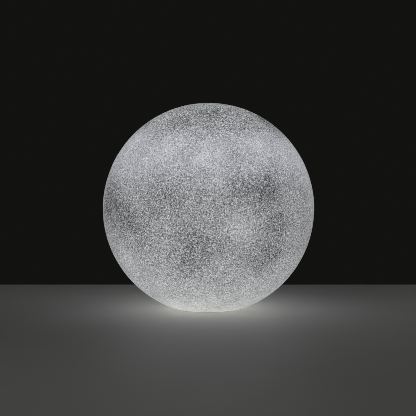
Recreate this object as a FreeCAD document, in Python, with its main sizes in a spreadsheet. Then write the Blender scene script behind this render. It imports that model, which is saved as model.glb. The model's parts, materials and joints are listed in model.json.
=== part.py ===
"""Cordless moon lamp: a speckled 400 mm globe that lifts off, and turns on, a round light base.

Millimetres, +Z up. The origin is on the table, under the middle of the globe, and the
camera's side of the lamp is -Y. The base stands on four rubber feet. The globe's recessed
foot hangs over the base's flange, and its mouth collar slides on the base's spigot. A
push button and a hinged charging port door are on the underside.
"""
import FreeCAD, Part
import math
import os

import Sketcher

from FreeCAD import Placement, Rotation, Vector

DRIVING_SIZES = {
    # globe
    "globe_radius": 200.0,
    "globe_wall": 3.0,
    "globe_foot_radius": 70.0,
    "globe_rim_rounding": 1.2,
    "recess_radius": 65.0,
    "mouth_radius": 55.0,
    "table_gap": 1.0,
    "seat_gap": 0.05,
    # collar in the globe's mouth
    "collar_bore_radius": 52.4,
    "collar_tube_radius": 54.8,
    "collar_top": 24.0,
    "collar_chamfer": 0.5,
    "collar_flange_radius": 64.0,
    "collar_flange_thickness": 2.5,
    "collar_boss_radius": 3.2,
    "collar_boss_height": 4.5,
    "collar_screw_circle": 59.8,
    "collar_screw_reach": 2.5,
    # ring that the globe turns on
    "glide_inner_radius": 56.0,
    "glide_outer_radius": 64.0,
    "glide_thickness": 0.8,
    # base housing
    "flange_radius": 64.4,
    "flange_thickness": 3.0,
    "flange_chamfer": 0.6,
    "spigot_radius": 52.0,
    "spigot_wall": 3.0,
    "spigot_chamfer": 1.2,
    "deck_top": 42.0,
    "deck_thickness": 2.5,
    "pillar_radius": 4.2,
    "screw_pad_radius": 3.8,
    "cover_screw_circle": 45.0,
    # base cover
    "cover_radius": 50.3,
    "cover_gap": 0.2,
    "cover_thickness": 2.5,
    "cover_chamfer": 0.4,
    "gasket_width": 1.15,
    "gasket_thickness": 0.6,
    "foot_circle": 57.4,
    "foot_radius": 5.4,
    "foot_chamfer": 0.5,
    "foot_recess": 1.0,
    "small_gap": 0.05,
    "button_stop": 0.05,
    # spring clips on the spigot
    "clip_width": 6.0,
    "clip_thickness": 0.5,
    "clip_low": 7.5,
    "clip_bow_low": 12.5,
    "clip_bow_high": 26.5,
    "clip_high": 28.5,
    "clip_bow": 0.9,
    "clip_pocket_depth": 1.3,
    "clip_pocket_margin": 0.6,
    "clip_screw_height": 10.0,
    # push button, its switch and its spring
    "button_radius": 7.5,
    "button_face": 1.3,
    "button_dish": 0.4,
    "button_rim": 1.4,
    "button_flange_radius": 8.6,
    "button_flange_thickness": 1.0,
    "button_stem_radius": 3.0,
    "button_stem_top": 10.0,
    "button_clearance": 0.3,
    "guide_wall": 1.2,
    "guide_top": 9.0,
    "switch_side": 6.2,
    "switch_height": 3.5,
    "plunger_radius": 1.7,
    "plunger_length": 2.2,
    "plunger_room": 1.0,
    "button_spring_radius": 5.3,
    "button_spring_wire": 0.6,
    # charging port
    "port_centre": 20.0,
    "well_length": 13.2,
    "well_width": 7.6,
    "well_wall": 1.2,
    "well_top": 8.0,
    "door_length": 16.0,
    "door_near": 15.8,
    "door_far": 26.2,
    "door_thickness": 1.2,
    "door_gap": 0.3,
    "knuckle_gap": 0.8,
    "door_neck": 10.0,
    "door_tongue": 1.0,
    "door_tongue_gap": 0.4,
    "door_corner": 1.5,
    "hinge_offset": 13.2,
    "knuckle_radius": 1.5,
    "hinge_pin_radius": 0.6,
    "hinge_pin_length": 15.6,
    "hinge_boss_length": 20.0,
    "hinge_boss_top": 5.6,
    "finger_notch_radius": 4.0,
    "socket_length": 9.4,
    "socket_width": 3.8,
    "socket_wall": 0.3,
    "socket_depth": 6.2,
    "socket_tongue_length": 6.7,
    "socket_tongue_width": 0.7,
    # control board and what it carries
    "board_radius": 37.5,
    "board_low": 15.0,
    "board_thickness": 1.6,
    "board_post_circle": 32.0,
    "board_post_radius": 3.0,
    "light_pipe_offset": 14.0,
    "light_pipe_radius": 1.5,
    "light_pipe_low": 1.2,
    "light_pipe_high": 13.9,
    "status_led_side": 2.0,
    "status_led_height": 0.8,
    "coil_radius": 5.0,
    "coil_height": 5.0,
    "capacitor_radius": 3.2,
    "capacitor_height": 7.0,
    "chip_side": 7.0,
    "chip_height": 1.2,
    "small_part_length": 2.0,
    "plug_length": 8.0,
    "plug_width": 6.4,
    "plug_height": 6.0,
    "battery_plug_end": 30.0,
    "led_plug_end": 21.0,
    # cells and their holder
    "cell_radius": 9.2,
    "cell_length": 65.0,
    "cell_nub_radius": 3.0,
    "cell_nub_length": 0.8,
    "cell_spacing": 20.0,
    "cell_height": 28.5,
    "holder_length": 75.6,
    "holder_width": 40.6,
    "holder_thickness": 1.5,
    "holder_low": 22.0,
    "holder_rail_low": 31.0,
    "holder_rail": 0.9,
    "contact_thickness": 0.4,
    "contact_side": 12.0,
    "tab_low": 24.0,
    "tab_height": 5.0,
    "battery_spring_radius": 4.0,
    "battery_spring_wire": 0.8,
    # light engine on the deck
    "spreader_radius": 39.4,
    "spreader_thickness": 1.5,
    "led_board_radius": 36.0,
    "led_board_thickness": 1.6,
    "led_screw_circle": 21.0,
    "led_length": 3.5,
    "led_width": 2.8,
    "led_height": 0.8,
    "inner_led_circle": 12.0,
    "outer_led_circle": 30.0,
    "dome_radius": 42.0,
    "dome_flange_inner": 40.0,
    "dome_flange_radius": 50.0,
    "dome_flange_thickness": 2.0,
    "dome_top": 80.0,
    "dome_wall": 2.0,
    "dome_screw_circle": 47.0,
    # leads and their grommet
    "lead_radius": 0.8,
    "lead_pitch": 3.0,
    "lead_bend": 5.0,
    "lead_height": 12.0,
    "lead_hole_offset": 27.0,
    "grommet_bore": 2.9,
    "grommet_radius": 3.55,
    "grommet_lip_radius": 4.8,
    "grommet_lip": 0.75,
    # screws
    "screw_three": 1.5,
    "screw_three_head": 2.8,
    "screw_three_head_height": 1.3,
    "screw_small": 1.25,
    "screw_small_head": 2.2,
    "screw_small_head_height": 1.3,
    "countersink_height": 1.6,
    "clip_screw": 1.0,
    "clip_screw_head": 1.9,
    "clip_screw_head_height": 0.6,
    "drive_width": 0.5,
    "cover_screw_length": 12.0,
    "board_screw_length": 8.0,
    "holder_screw_length": 3.6,
    "led_screw_length": 5.0,
    "dome_screw_length": 4.0,
    # how far joined features overlap, and how far a cut runs past what it cuts
    "weld": 0.5,
    "overcut": 1.0,
    # clearances of screws in the pieces they pass through, and of pieces in their pockets
    "screw_way_gap": 0.1,
    "pocket_gap": 0.3,
    "solder_height": 0.6,
    "cell_rounding": 0.6,
    "lead_in": 0.5,
}
CLOSE = 1e-6

COLLAR_SCREWS = 6
COVER_SCREWS = 4
FEET = 4
CLIPS = 3
DOME_SCREWS = 3
BOARD_SCREWS = 3
LED_BOARD_SCREWS = 3
HOLDER_SCREWS = 2
INNER_LEDS = 6
OUTER_LEDS = 12
BUTTON_SPRING_TURNS = 6
BATTERY_SPRING_TURNS = 3
QUARTERS_A_TURN = 4
# places on the control board, in millimetres from its middle
COIL_PLACE = (-18, -20)
CAPACITOR_PLACES = ((10, -27), (17, -21))
CHIP_PLACES = ((-24, -2), (17, 10))
SMALL_PART_CORNER = (-14, 14)
SMALL_PART_PITCH = (4, 3)
SMALL_PART_COUNTS = (3, 4)
# proportions of a screw's head
HEAD_BEVEL = 0.25
DRIVE_REACH = 0.55
DRIVE_DEPTH = 0.6


class Size:
    """A number from the sheet, or one worked out from several, together with its formula."""

    def __init__(self, value, formula):
        self.value = float(value)
        self.formula = formula

    def __add__(self, other):
        return joined(self, "+", other, self.value + number(other))

    def __radd__(self, other):
        return joined(other, "+", self, number(other) + self.value)

    def __sub__(self, other):
        return joined(self, "-", other, self.value - number(other))

    def __rsub__(self, other):
        return joined(other, "-", self, number(other) - self.value)

    def __mul__(self, other):
        return joined(self, "*", other, self.value * number(other))

    def __rmul__(self, other):
        return joined(other, "*", self, number(other) * self.value)

    def __truediv__(self, other):
        return joined(self, "/", other, self.value / number(other))

    def __neg__(self):
        return Size(-self.value, "(0 - %s)" % self.formula)


def number(size):
    return size.value if isinstance(size, Size) else float(size)


def formula(size):
    return size.formula if isinstance(size, Size) else repr(float(size))


def joined(first, sign, second, value):
    return Size(value, "(%s %s %s)" % (formula(first), sign, formula(second)))


def root(size):
    return Size(math.sqrt(size.value), "sqrt(%s)" % size.formula)


def around(radius, degrees):
    """The x and y of a point at a radius and an angle."""
    turn = math.radians(degrees)
    x = Size(radius.value * math.cos(turn), "(%s * cos(%s deg))" % (radius.formula, degrees))
    y = Size(radius.value * math.sin(turn), "(%s * sin(%s deg))" % (radius.formula, degrees))
    return x, y


class Sizes:
    """The driving dimensions, read by name from the sheet."""

    def __init__(self, doc):
        self.sheet = doc.addObject("Spreadsheet::Sheet", "sizes")
        for row, (name, value) in enumerate(DRIVING_SIZES.items(), start=1):
            self.sheet.set("A%d" % row, name)
            self.sheet.set("B%d" % row, repr(value))
            self.sheet.setAlias("B%d" % row, name)
        doc.recompute()

    def __getattr__(self, name):
        if name not in DRIVING_SIZES:
            raise AttributeError(name)
        return Size(DRIVING_SIZES[name], "sizes." + name)


class Bow:
    """An arc from one corner of an outline to the next; turn is 1 anticlockwise, -1 clockwise."""

    def __init__(self, radius, turn):
        self.radius = radius
        self.turn = turn


def bind(thing, name, size):
    """Sets a property to a size, and ties it to the size's formula."""
    if "." not in name and "[" not in name:
        setattr(thing, name, number(size))
    if isinstance(size, Size):
        thing.setExpression(name, size.formula)


def bow_arc(start, end, bow):
    """The arc between two corners, as the anticlockwise arc that a sketch holds."""
    chord = end - start
    half = chord.Length / 2
    left = Vector(-chord.y, chord.x, 0).normalize() * bow.turn
    centre = (start + end) * 0.5 + left * math.sqrt(max(number(bow.radius) ** 2 - half**2, 0))
    first, last = (start, end) if bow.turn > 0 else (end, start)
    angles = [math.atan2(point.y - centre.y, point.x - centre.x) for point in (first, last)]
    circle = Part.Circle(centre, Vector(0, 0, 1), number(bow.radius))
    return Part.ArcOfCircle(circle, angles[0], angles[1])


def origin_part(body, role):
    return [o for o in body.Origin.OriginFeatures if o.Role == role][0]


def new_sketch(body, name, plane, offset=0.0):
    """An empty sketch on one of the body's origin planes, offset along the plane's normal."""
    sketch = body.newObject("Sketcher::SketchObject", name)
    sketch.AttachmentSupport = (origin_part(body, plane), [""])
    sketch.MapMode = "FlatFace"
    sketch.AttachmentOffset = Placement(Vector(0, 0, number(offset)), Rotation())
    if isinstance(offset, Size):
        sketch.setExpression("AttachmentOffset.Base.z", offset.formula)
    return sketch


def fix_point(sketch, geometry, end, x, y):
    """Ties one end of a line or arc, or a centre (end 3), to its place from the origin."""
    for kind, size in (("DistanceX", x), ("DistanceY", y)):
        constraint = Sketcher.Constraint(kind, -1, 1, geometry, end, number(size))
        place = sketch.addConstraint(constraint)
        if isinstance(size, Size):
            sketch.setExpression("Constraints[%d]" % place, size.formula)


def fix_radius(sketch, geometry, radius):
    place = sketch.addConstraint(Sketcher.Constraint("Radius", geometry, number(radius)))
    if isinstance(radius, Size):
        sketch.setExpression("Constraints[%d]" % place, radius.formula)


def add_outline(sketch, corners):
    """A closed outline. A corner is (x, y), or (x, y, Bow) where an arc leads to the next one."""
    points = [Vector(number(c[0]), number(c[1]), 0) for c in corners]
    ends = []
    for i, corner in enumerate(corners):
        start, end = points[i], points[(i + 1) % len(points)]
        if len(corner) == 3:
            side = sketch.addGeometry(bow_arc(start, end, corner[2]), False)
            ends.append((side, 1, 2) if corner[2].turn > 0 else (side, 2, 1))
            fix_radius(sketch, side, corner[2].radius)
        else:
            side = sketch.addGeometry(Part.LineSegment(start, end), False)
            ends.append((side, 1, 2))
    for i, (side, start, end) in enumerate(ends):
        following = ends[(i + 1) % len(ends)]
        sketch.addConstraint(Sketcher.Constraint("Coincident", side, end, following[0], following[1]))
        fix_point(sketch, side, start, corners[i][0], corners[i][1])
    return sketch


def add_box(sketch, x, y, length, width):
    """A rectangle about (x, y)."""
    low_x, high_x = x - length / 2, x + length / 2
    low_y, high_y = y - width / 2, y + width / 2
    return add_outline(sketch, [(low_x, low_y), (high_x, low_y), (high_x, high_y), (low_x, high_y)])


def add_circle(sketch, x, y, radius):
    centre = Vector(number(x), number(y), 0)
    side = sketch.addGeometry(Part.Circle(centre, Vector(0, 0, 1), number(radius)), False)
    fix_point(sketch, side, 3, x, y)
    fix_radius(sketch, side, radius)
    return sketch


def new_body(doc, label, turned=0.0):
    """A body whose label names its file, turned about the lamp's axis by some degrees."""
    body = doc.addObject("PartDesign::Body", label)
    body.Label = label
    body.Placement = Placement(Vector(0, 0, 0), Rotation(Vector(0, 0, 1), turned))
    return body


def finish(body, feature):
    body.Tip = feature
    body.Document.recompute()
    return feature


def spin(body, corners, name="profile", axis=None):
    """Material turned a full circle about Z, or about one side of the outline itself."""
    sketch = add_outline(new_sketch(body, name, "XZ_Plane"), corners)
    feature = body.newObject("PartDesign::Revolution", name + "_turned")
    feature.Profile = sketch
    feature.ReferenceAxis = (origin_part(body, "Z_Axis"), [""]) if axis is None else (sketch, [axis])
    feature.Angle = 360
    return finish(body, feature)


def spin_cut(body, corners, name, axis):
    """A round cut about one side of the outline."""
    before = body.Shape.Volume
    sketch = add_outline(new_sketch(body, name, "XZ_Plane"), corners)
    feature = body.newObject("PartDesign::Groove", name + "_cut")
    feature.Profile = sketch
    feature.ReferenceAxis = (sketch, [axis])
    feature.Angle = 360
    finish(body, feature)
    must_shrink(body, before, name)
    return feature


def must_shrink(body, before, name):
    if body.Shape.Volume > before - 1e-3:
        raise RuntimeError("%s: cut %s took nothing away" % (body.Label, name))


def rise(body, sketch, length):
    """Material from a flat sketch upwards."""
    feature = body.newObject("PartDesign::Pad", sketch.Name + "_pad")
    feature.Profile = sketch
    bind(feature, "Length", length)
    return finish(body, feature)


def drop(body, sketch, length):
    """Material from a flat sketch downwards."""
    feature = rise(body, sketch, length)
    feature.Reversed = True
    return finish(body, feature)


def across(body, sketch, length):
    """Material on both sides of a sketch that stands upright."""
    feature = rise(body, sketch, length)
    feature.Midplane = True
    return finish(body, feature)


def cut(body, sketch, length, upwards=True, both_sides=False):
    """A pocket from a sketch, upwards unless said otherwise."""
    before = body.Shape.Volume
    feature = body.newObject("PartDesign::Pocket", sketch.Name + "_pocket")
    feature.Profile = sketch
    bind(feature, "Length", length)
    feature.Reversed = upwards and not both_sides
    feature.Midplane = both_sides
    finish(body, feature)
    must_shrink(body, before, sketch.Name)
    return feature


def ring_of(body, features, count):
    """The features repeated evenly round the lamp's axis."""
    pattern = body.newObject("PartDesign::PolarPattern", features[0].Name + "_ring")
    pattern.Originals = features
    pattern.Axis = (origin_part(body, "Z_Axis"), [""])
    pattern.Angle = 360
    pattern.Occurrences = count
    return finish(body, pattern)


def round_edges(body, radius, chosen):
    """A fillet on the edges of the newest feature that the test picks."""
    base = body.Tip
    names = ["Edge%d" % (i + 1) for i, edge in enumerate(base.Shape.Edges) if chosen(edge)]
    if not names:
        raise RuntimeError(body.Label + ": no edge to round")
    feature = body.newObject("PartDesign::Fillet", base.Name + "_rounded")
    feature.Base = (base, names)
    bind(feature, "Radius", radius)
    return finish(body, feature)


def is_ring(edge, radius, height):
    """True for a circle of that radius about the lamp's axis, at that height."""
    if edge.Degenerated or not isinstance(edge.Curve, Part.Circle):
        return False
    curve = edge.Curve
    centre = Vector(0, 0, number(height))
    return curve.Center.isEqual(centre, CLOSE) and abs(curve.Radius - number(radius)) < CLOSE


def shape_node(doc, label, shape):
    """A node whose shape no feature makes: a wound wire or a lead."""
    node = doc.addObject("Part::Feature", label)
    node.Label = label
    node.Shape = shape
    node.Placement = Placement()
    return node


def levels(s):
    """Heights that several sub-parts share, worked out from the driving sizes."""
    heights = {}
    heights["rim"] = s.table_gap
    heights["flange_top"] = s.table_gap + s.flange_thickness
    heights["glide_top"] = heights["flange_top"] + s.glide_thickness
    heights["seat"] = heights["glide_top"] + s.seat_gap
    heights["plate_top"] = heights["seat"] + s.globe_wall
    heights["cover_top"] = s.table_gap + s.cover_thickness
    heights["ledge"] = heights["cover_top"] + s.gasket_thickness
    heights["cover_seat"] = s.table_gap + s.screw_three_head_height + s.cover_gap
    heights["deck_low"] = s.deck_top - s.deck_thickness
    heights["board_top"] = s.board_low + s.board_thickness
    heights["spreader_top"] = s.deck_top + s.spreader_thickness
    heights["led_board_top"] = heights["spreader_top"] + s.led_board_thickness
    heights["dome_flange_top"] = s.deck_top + s.dome_flange_thickness
    heights["holder_low"] = heights["deck_low"] - s.holder_thickness - s.small_gap
    return heights


def globe_shell(doc, s, z):
    """The globe: a moulded sphere with a flat rim, a recessed foot plate and a round mouth."""
    body = new_body(doc, "globe_shell")
    centre = z["rim"] + root(s.globe_radius * s.globe_radius - s.globe_foot_radius * s.globe_foot_radius)
    inner = s.globe_radius - s.globe_wall
    channel = z["rim"] + s.globe_wall
    channel_radius = root(inner * inner - (centre - channel) * (centre - channel))
    step = s.recess_radius + s.globe_wall
    spin(
        body,
        [
            (0.0, centre + s.globe_radius, Bow(s.globe_radius, -1)),
            (s.globe_foot_radius, z["rim"]),
            (s.recess_radius, z["rim"]),
            (s.recess_radius, z["seat"]),
            (s.mouth_radius, z["seat"]),
            (s.mouth_radius, z["plate_top"]),
            (step, z["plate_top"]),
            (step, channel),
            (channel_radius, channel, Bow(inner, 1)),
            (0.0, centre + inner),
        ],
    )
    round_edges(body, s.globe_rim_rounding, lambda e: is_ring(e, s.globe_foot_radius, z["rim"]))
    hole = s.screw_three + s.small_gap
    head = s.screw_three_head + s.small_gap
    left_in = s.collar_screw_circle
    sinks = spin_cut(
        body,
        [
            (left_in, z["seat"] - s.small_gap),
            (left_in + head, z["seat"] - s.small_gap),
            (left_in + head, z["seat"] + s.small_gap),
            (left_in + hole, z["seat"] + s.countersink_height),
            (left_in + hole, z["plate_top"] + s.small_gap),
            (left_in, z["plate_top"] + s.small_gap),
        ],
        "screw_hole",
        "Edge6",
    )
    ring_of(body, [sinks], COLLAR_SCREWS)
    return body


def mouth_collar(doc, s, z):
    """The ring in the globe's mouth that slides and turns on the base's spigot."""
    body = new_body(doc, "mouth_collar")
    low = z["seat"] + s.small_gap
    flange_top = z["plate_top"] + s.collar_flange_thickness
    spin(
        body,
        [
            (s.collar_bore_radius + s.collar_chamfer, low),
            (s.collar_tube_radius, low),
            (s.collar_tube_radius, z["plate_top"]),
            (s.collar_flange_radius, z["plate_top"]),
            (s.collar_flange_radius, flange_top),
            (s.collar_tube_radius, flange_top),
            (s.collar_tube_radius, s.collar_top),
            (s.collar_bore_radius, s.collar_top),
            (s.collar_bore_radius, low + s.collar_chamfer),
        ],
    )
    sketch = new_sketch(body, "boss", "XY_Plane", z["plate_top"] + s.small_gap)
    add_circle(sketch, s.collar_screw_circle, 0.0, s.collar_boss_radius)
    bosses = rise(body, sketch, s.collar_flange_thickness + s.collar_boss_height)
    ring_of(body, [bosses], COLLAR_SCREWS)
    sketch = new_sketch(body, "pilot", "XY_Plane", z["plate_top"])
    add_circle(sketch, s.collar_screw_circle, 0.0, s.screw_three)
    pilots = cut(body, sketch, s.collar_flange_thickness + s.collar_screw_reach + s.small_gap)
    ring_of(body, [pilots], COLLAR_SCREWS)
    return body


def flat_ring(doc, label, inner, outer, low, high):
    body = new_body(doc, label)
    spin(body, [(inner, low), (outer, low), (outer, high), (inner, high)])
    return body


def cross_drive(body, s, x, height, upwards, arm, depth):
    """The cross in a screw's head, cut from the head's face."""
    features = []
    for name, length, width in (("slot_one", arm * 2, s.drive_width), ("slot_two", s.drive_width, arm * 2)):
        sketch = add_box(new_sketch(body, name, "XY_Plane", height), x, 0.0, length, width)
        features.append(cut(body, sketch, depth, upwards=upwards))
    return features


def pan_screws(doc, s, held, circle, seat, heads_up, sizes, length, count, turned):
    """Screws in a ring, heads up or down, named for what they hold; they seat under the head."""
    body = new_body(doc, held + "_screws", turned)
    shank, head, head_height = sizes
    sign = 1 if heads_up else -1
    bevel = head * HEAD_BEVEL
    face = seat + head_height * sign
    screw = spin(
        body,
        [
            (circle, face),
            (circle, seat - length * sign),
            (circle + shank / 2, seat - length * sign),
            (circle + shank, seat - (length - shank / 2) * sign),
            (circle + shank, seat),
            (circle + head, seat),
            (circle + head, face - bevel * sign),
            (circle + head - bevel, face),
        ],
        axis="Edge1",
    )
    slots = cross_drive(body, s, circle, face, not heads_up, head * DRIVE_REACH, head_height * DRIVE_DEPTH)
    ring_of(body, [screw] + slots, count)
    return body


def collar_screws(doc, s, z):
    """Countersunk screws, flush in the globe's foot plate, that hold the collar."""
    body = new_body(doc, "collar_screws")
    x = s.collar_screw_circle
    top = z["plate_top"] + s.collar_flange_thickness + s.collar_screw_reach
    screw = spin(
        body,
        [
            (x, z["seat"]),
            (x, top),
            (x + s.screw_three / 2, top),
            (x + s.screw_three, top - s.screw_three / 2),
            (x + s.screw_three, z["seat"] + s.countersink_height),
            (x + s.screw_three_head, z["seat"] + s.small_gap),
            (x + s.screw_three_head, z["seat"]),
        ],
        axis="Edge1",
    )
    arm, depth = s.screw_three_head * DRIVE_REACH, s.countersink_height * DRIVE_DEPTH
    slots = cross_drive(body, s, x, z["seat"], True, arm, depth)
    ring_of(body, [screw] + slots, COLLAR_SCREWS)
    return body


def base_housing(doc, s, z):
    """The base's cup: flange, spigot and deck, with pillars, foot recesses and clip pockets."""
    body = new_body(doc, "base_housing")
    bore = s.cover_radius + s.cover_gap
    inner = s.spigot_radius - s.spigot_wall
    spin(
        body,
        [
            (bore, z["rim"]),
            (s.flange_radius - s.flange_chamfer, z["rim"]),
            (s.flange_radius, z["rim"] + s.flange_chamfer),
            (s.flange_radius, z["flange_top"]),
            (s.spigot_radius, z["flange_top"]),
            (s.spigot_radius, s.deck_top - s.spigot_chamfer),
            (s.spigot_radius - s.spigot_chamfer, s.deck_top),
            (0.0, s.deck_top),
            (0.0, z["deck_low"]),
            (inner, z["deck_low"]),
            (inner, z["ledge"]),
            (bore, z["ledge"]),
        ],
    )
    screw_x, screw_y = around(s.cover_screw_circle, 45)
    sketch = new_sketch(body, "pillar", "XY_Plane", z["ledge"])
    add_circle(sketch, screw_x, screw_y, s.pillar_radius)
    ring_of(body, [rise(body, sketch, z["deck_low"] - z["ledge"] + s.weld)], COVER_SCREWS)
    sketch = new_sketch(body, "pillar_hole", "XY_Plane", z["ledge"])
    add_circle(sketch, screw_x, screw_y, s.screw_three)
    ring_of(body, [cut(body, sketch, s.cover_screw_length)], COVER_SCREWS)
    sketch = new_sketch(body, "foot_recess", "XY_Plane", z["rim"])
    add_circle(sketch, s.foot_circle, 0.0, s.foot_radius + s.cover_gap)
    ring_of(body, [cut(body, sketch, s.foot_recess)], FEET)
    cut_clip_pockets(body, s)
    cut_deck_holes(body, s, z)
    return body


def cut_clip_pockets(body, s):
    """Shallow pockets in the spigot's outside, one for each spring clip, with a screw hole."""
    floor = s.spigot_radius - s.clip_pocket_depth
    low, high = s.clip_low - s.clip_pocket_margin, s.clip_high + s.clip_pocket_margin
    outside = s.spigot_radius + s.overcut
    corners = [(floor, low), (outside, low), (outside, high), (floor, high)]
    sketch = add_outline(new_sketch(body, "clip_pocket", "XZ_Plane"), corners)
    pockets = cut(body, sketch, s.clip_width + s.clip_pocket_margin * 2, both_sides=True)
    ring_of(body, [pockets], CLIPS)
    inside, past_floor = s.spigot_radius - s.spigot_wall - s.weld, floor + s.weld
    ring_of(body, [screw_bore(body, s, "clip_hole", inside, past_floor, s.clip_screw)], CLIPS)


def screw_bore(body, s, name, inside, outside, radius):
    """A hole for a clip's screw, pointing at the lamp's axis."""
    low = s.clip_screw_height
    corners = [(inside, low), (outside, low), (outside, low + radius), (inside, low + radius)]
    return spin_cut(body, corners, name, "Edge1")


def cut_deck_holes(body, s, z):
    """Holes through the deck for the light engine's screws, the cell holder's and the leads."""
    through = s.deck_thickness + s.overcut
    low = z["deck_low"] - s.overcut / 2
    for name, circle, degrees, radius, count in (
        ("dome_hole", s.dome_screw_circle, 0, s.screw_small, DOME_SCREWS),
        ("led_hole", s.led_screw_circle, 90, s.screw_three, LED_BOARD_SCREWS),
        ("holder_hole", s.cell_spacing, 0, s.screw_small, HOLDER_SCREWS),
    ):
        x, y = around(circle, degrees)
        sketch = add_circle(new_sketch(body, name, "XY_Plane", low), x, y, radius)
        ring_of(body, [cut(body, sketch, through)], count)
    sketch = new_sketch(body, "lead_hole", "XY_Plane", low)
    add_circle(sketch, 0.0, -s.lead_hole_offset, s.grommet_radius + s.small_gap)
    cut(body, sketch, through)


def base_cover(doc, s, z):
    """The base's underside, with the button's guide, the port's well and hinge, and the posts."""
    body = new_body(doc, "base_cover")
    spin(
        body,
        [
            (0.0, z["rim"]),
            (s.cover_radius - s.cover_chamfer, z["rim"]),
            (s.cover_radius, z["rim"] + s.cover_chamfer),
            (s.cover_radius, z["cover_top"]),
            (0.0, z["cover_top"]),
        ],
    )
    add_cover_fittings(body, s, z)
    add_port(body, s, z)
    return body


def add_cover_fittings(body, s, z):
    """Screw pads, board posts, the button's guide tube and the light pipe's hole."""
    root_height = z["cover_top"] - s.weld
    screw_x, screw_y = around(s.cover_screw_circle, 45)
    sketch = new_sketch(body, "screw_pad", "XY_Plane", root_height)
    add_circle(sketch, screw_x, screw_y, s.screw_pad_radius)
    ring_of(body, [rise(body, sketch, s.gasket_thickness + s.weld - s.small_gap)], COVER_SCREWS)
    sketch = new_sketch(body, "screw_sink", "XY_Plane", z["rim"])
    add_circle(sketch, screw_x, screw_y, s.screw_three_head + s.pocket_gap)
    ring_of(body, [cut(body, sketch, z["cover_seat"] - z["rim"])], COVER_SCREWS)
    sketch = new_sketch(body, "screw_way", "XY_Plane", z["rim"] + s.screw_three_head_height)
    add_circle(sketch, screw_x, screw_y, s.screw_three + s.screw_way_gap)
    ring_of(body, [cut(body, sketch, s.cover_thickness)], COVER_SCREWS)

    sketch = new_sketch(body, "board_post", "XY_Plane", root_height)
    add_circle(sketch, 0.0, s.board_post_circle, s.board_post_radius)
    ring_of(body, [rise(body, sketch, s.board_low - root_height)], BOARD_SCREWS)
    sketch = new_sketch(body, "post_hole", "XY_Plane", s.board_low)
    add_circle(sketch, 0.0, s.board_post_circle, s.screw_small)
    ring_of(body, [cut(body, sketch, s.board_screw_length, upwards=False)], BOARD_SCREWS)

    guide = s.button_flange_radius + s.button_clearance
    sketch = new_sketch(body, "guide", "XY_Plane", root_height)
    add_circle(sketch, 0.0, 0.0, guide + s.guide_wall)
    rise(body, sketch, s.guide_top - root_height)
    sketch = add_circle(new_sketch(body, "guide_bore", "XY_Plane", z["cover_top"]), 0.0, 0.0, guide)
    cut(body, sketch, s.guide_top)
    sketch = new_sketch(body, "button_hole", "XY_Plane", z["rim"])
    add_circle(sketch, 0.0, 0.0, s.button_radius + s.button_clearance)
    cut(body, sketch, s.guide_top)
    sketch = new_sketch(body, "pipe_hole", "XY_Plane", z["rim"])
    add_circle(sketch, -s.light_pipe_offset, 0.0, s.light_pipe_radius + s.small_gap)
    cut(body, sketch, s.cover_thickness + s.overcut)


def add_port(body, s, z):
    """The charging port: a well for the plug, a recess for the door, and the door's hinge."""
    root_height = z["cover_top"] - s.weld
    port = s.port_centre
    outer_length, outer_width = s.well_length + s.well_wall * 2, s.well_width + s.well_wall * 2
    sketch = new_sketch(body, "well", "XY_Plane", root_height)
    add_box(sketch, 0.0, port, outer_length, outer_width)
    rise(body, sketch, s.well_top - root_height)
    slot_length = s.door_neck + s.door_gap * 2
    slot_near = s.hinge_offset - s.knuckle_radius - s.knuckle_gap
    boss_near, boss_far = slot_near - s.well_wall / 2, port - s.well_width / 2 - s.well_wall / 2
    sketch = new_sketch(body, "hinge_boss", "XY_Plane", root_height)
    add_box(sketch, 0.0, (boss_near + boss_far) / 2, s.hinge_boss_length, boss_far - boss_near)
    rise(body, sketch, s.hinge_boss_top - root_height)
    sketch = new_sketch(body, "well_hole", "XY_Plane", z["rim"])
    add_box(sketch, 0.0, port, s.well_length, s.well_width)
    cut(body, sketch, s.well_top)
    recess_near, recess_far = s.door_near - s.overcut, s.door_far + s.door_gap
    sketch = new_sketch(body, "door_recess", "XY_Plane", z["rim"])
    middle, width = (recess_near + recess_far) / 2, recess_far - recess_near
    add_box(sketch, 0.0, middle, s.door_length + s.door_gap * 2, width)
    cut(body, sketch, s.door_thickness + s.cover_gap)
    axle = z["rim"] + s.knuckle_radius
    slot_far = s.door_near - s.weld
    sketch = new_sketch(body, "knuckle_slot", "XY_Plane", z["rim"])
    add_box(sketch, 0.0, (slot_near + slot_far) / 2, slot_length, slot_far - slot_near)
    cut(body, sketch, s.knuckle_radius * 2 + s.door_gap)
    sketch = new_sketch(body, "finger_notch", "XY_Plane", z["rim"])
    add_circle(sketch, 0.0, recess_far, s.finger_notch_radius)
    cut(body, sketch, s.door_thickness)
    sketch = add_circle(new_sketch(body, "pin_hole", "YZ_Plane"), s.hinge_offset, axle, s.hinge_pin_radius)
    cut(body, sketch, s.hinge_pin_length + s.door_gap, both_sides=True)


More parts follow.
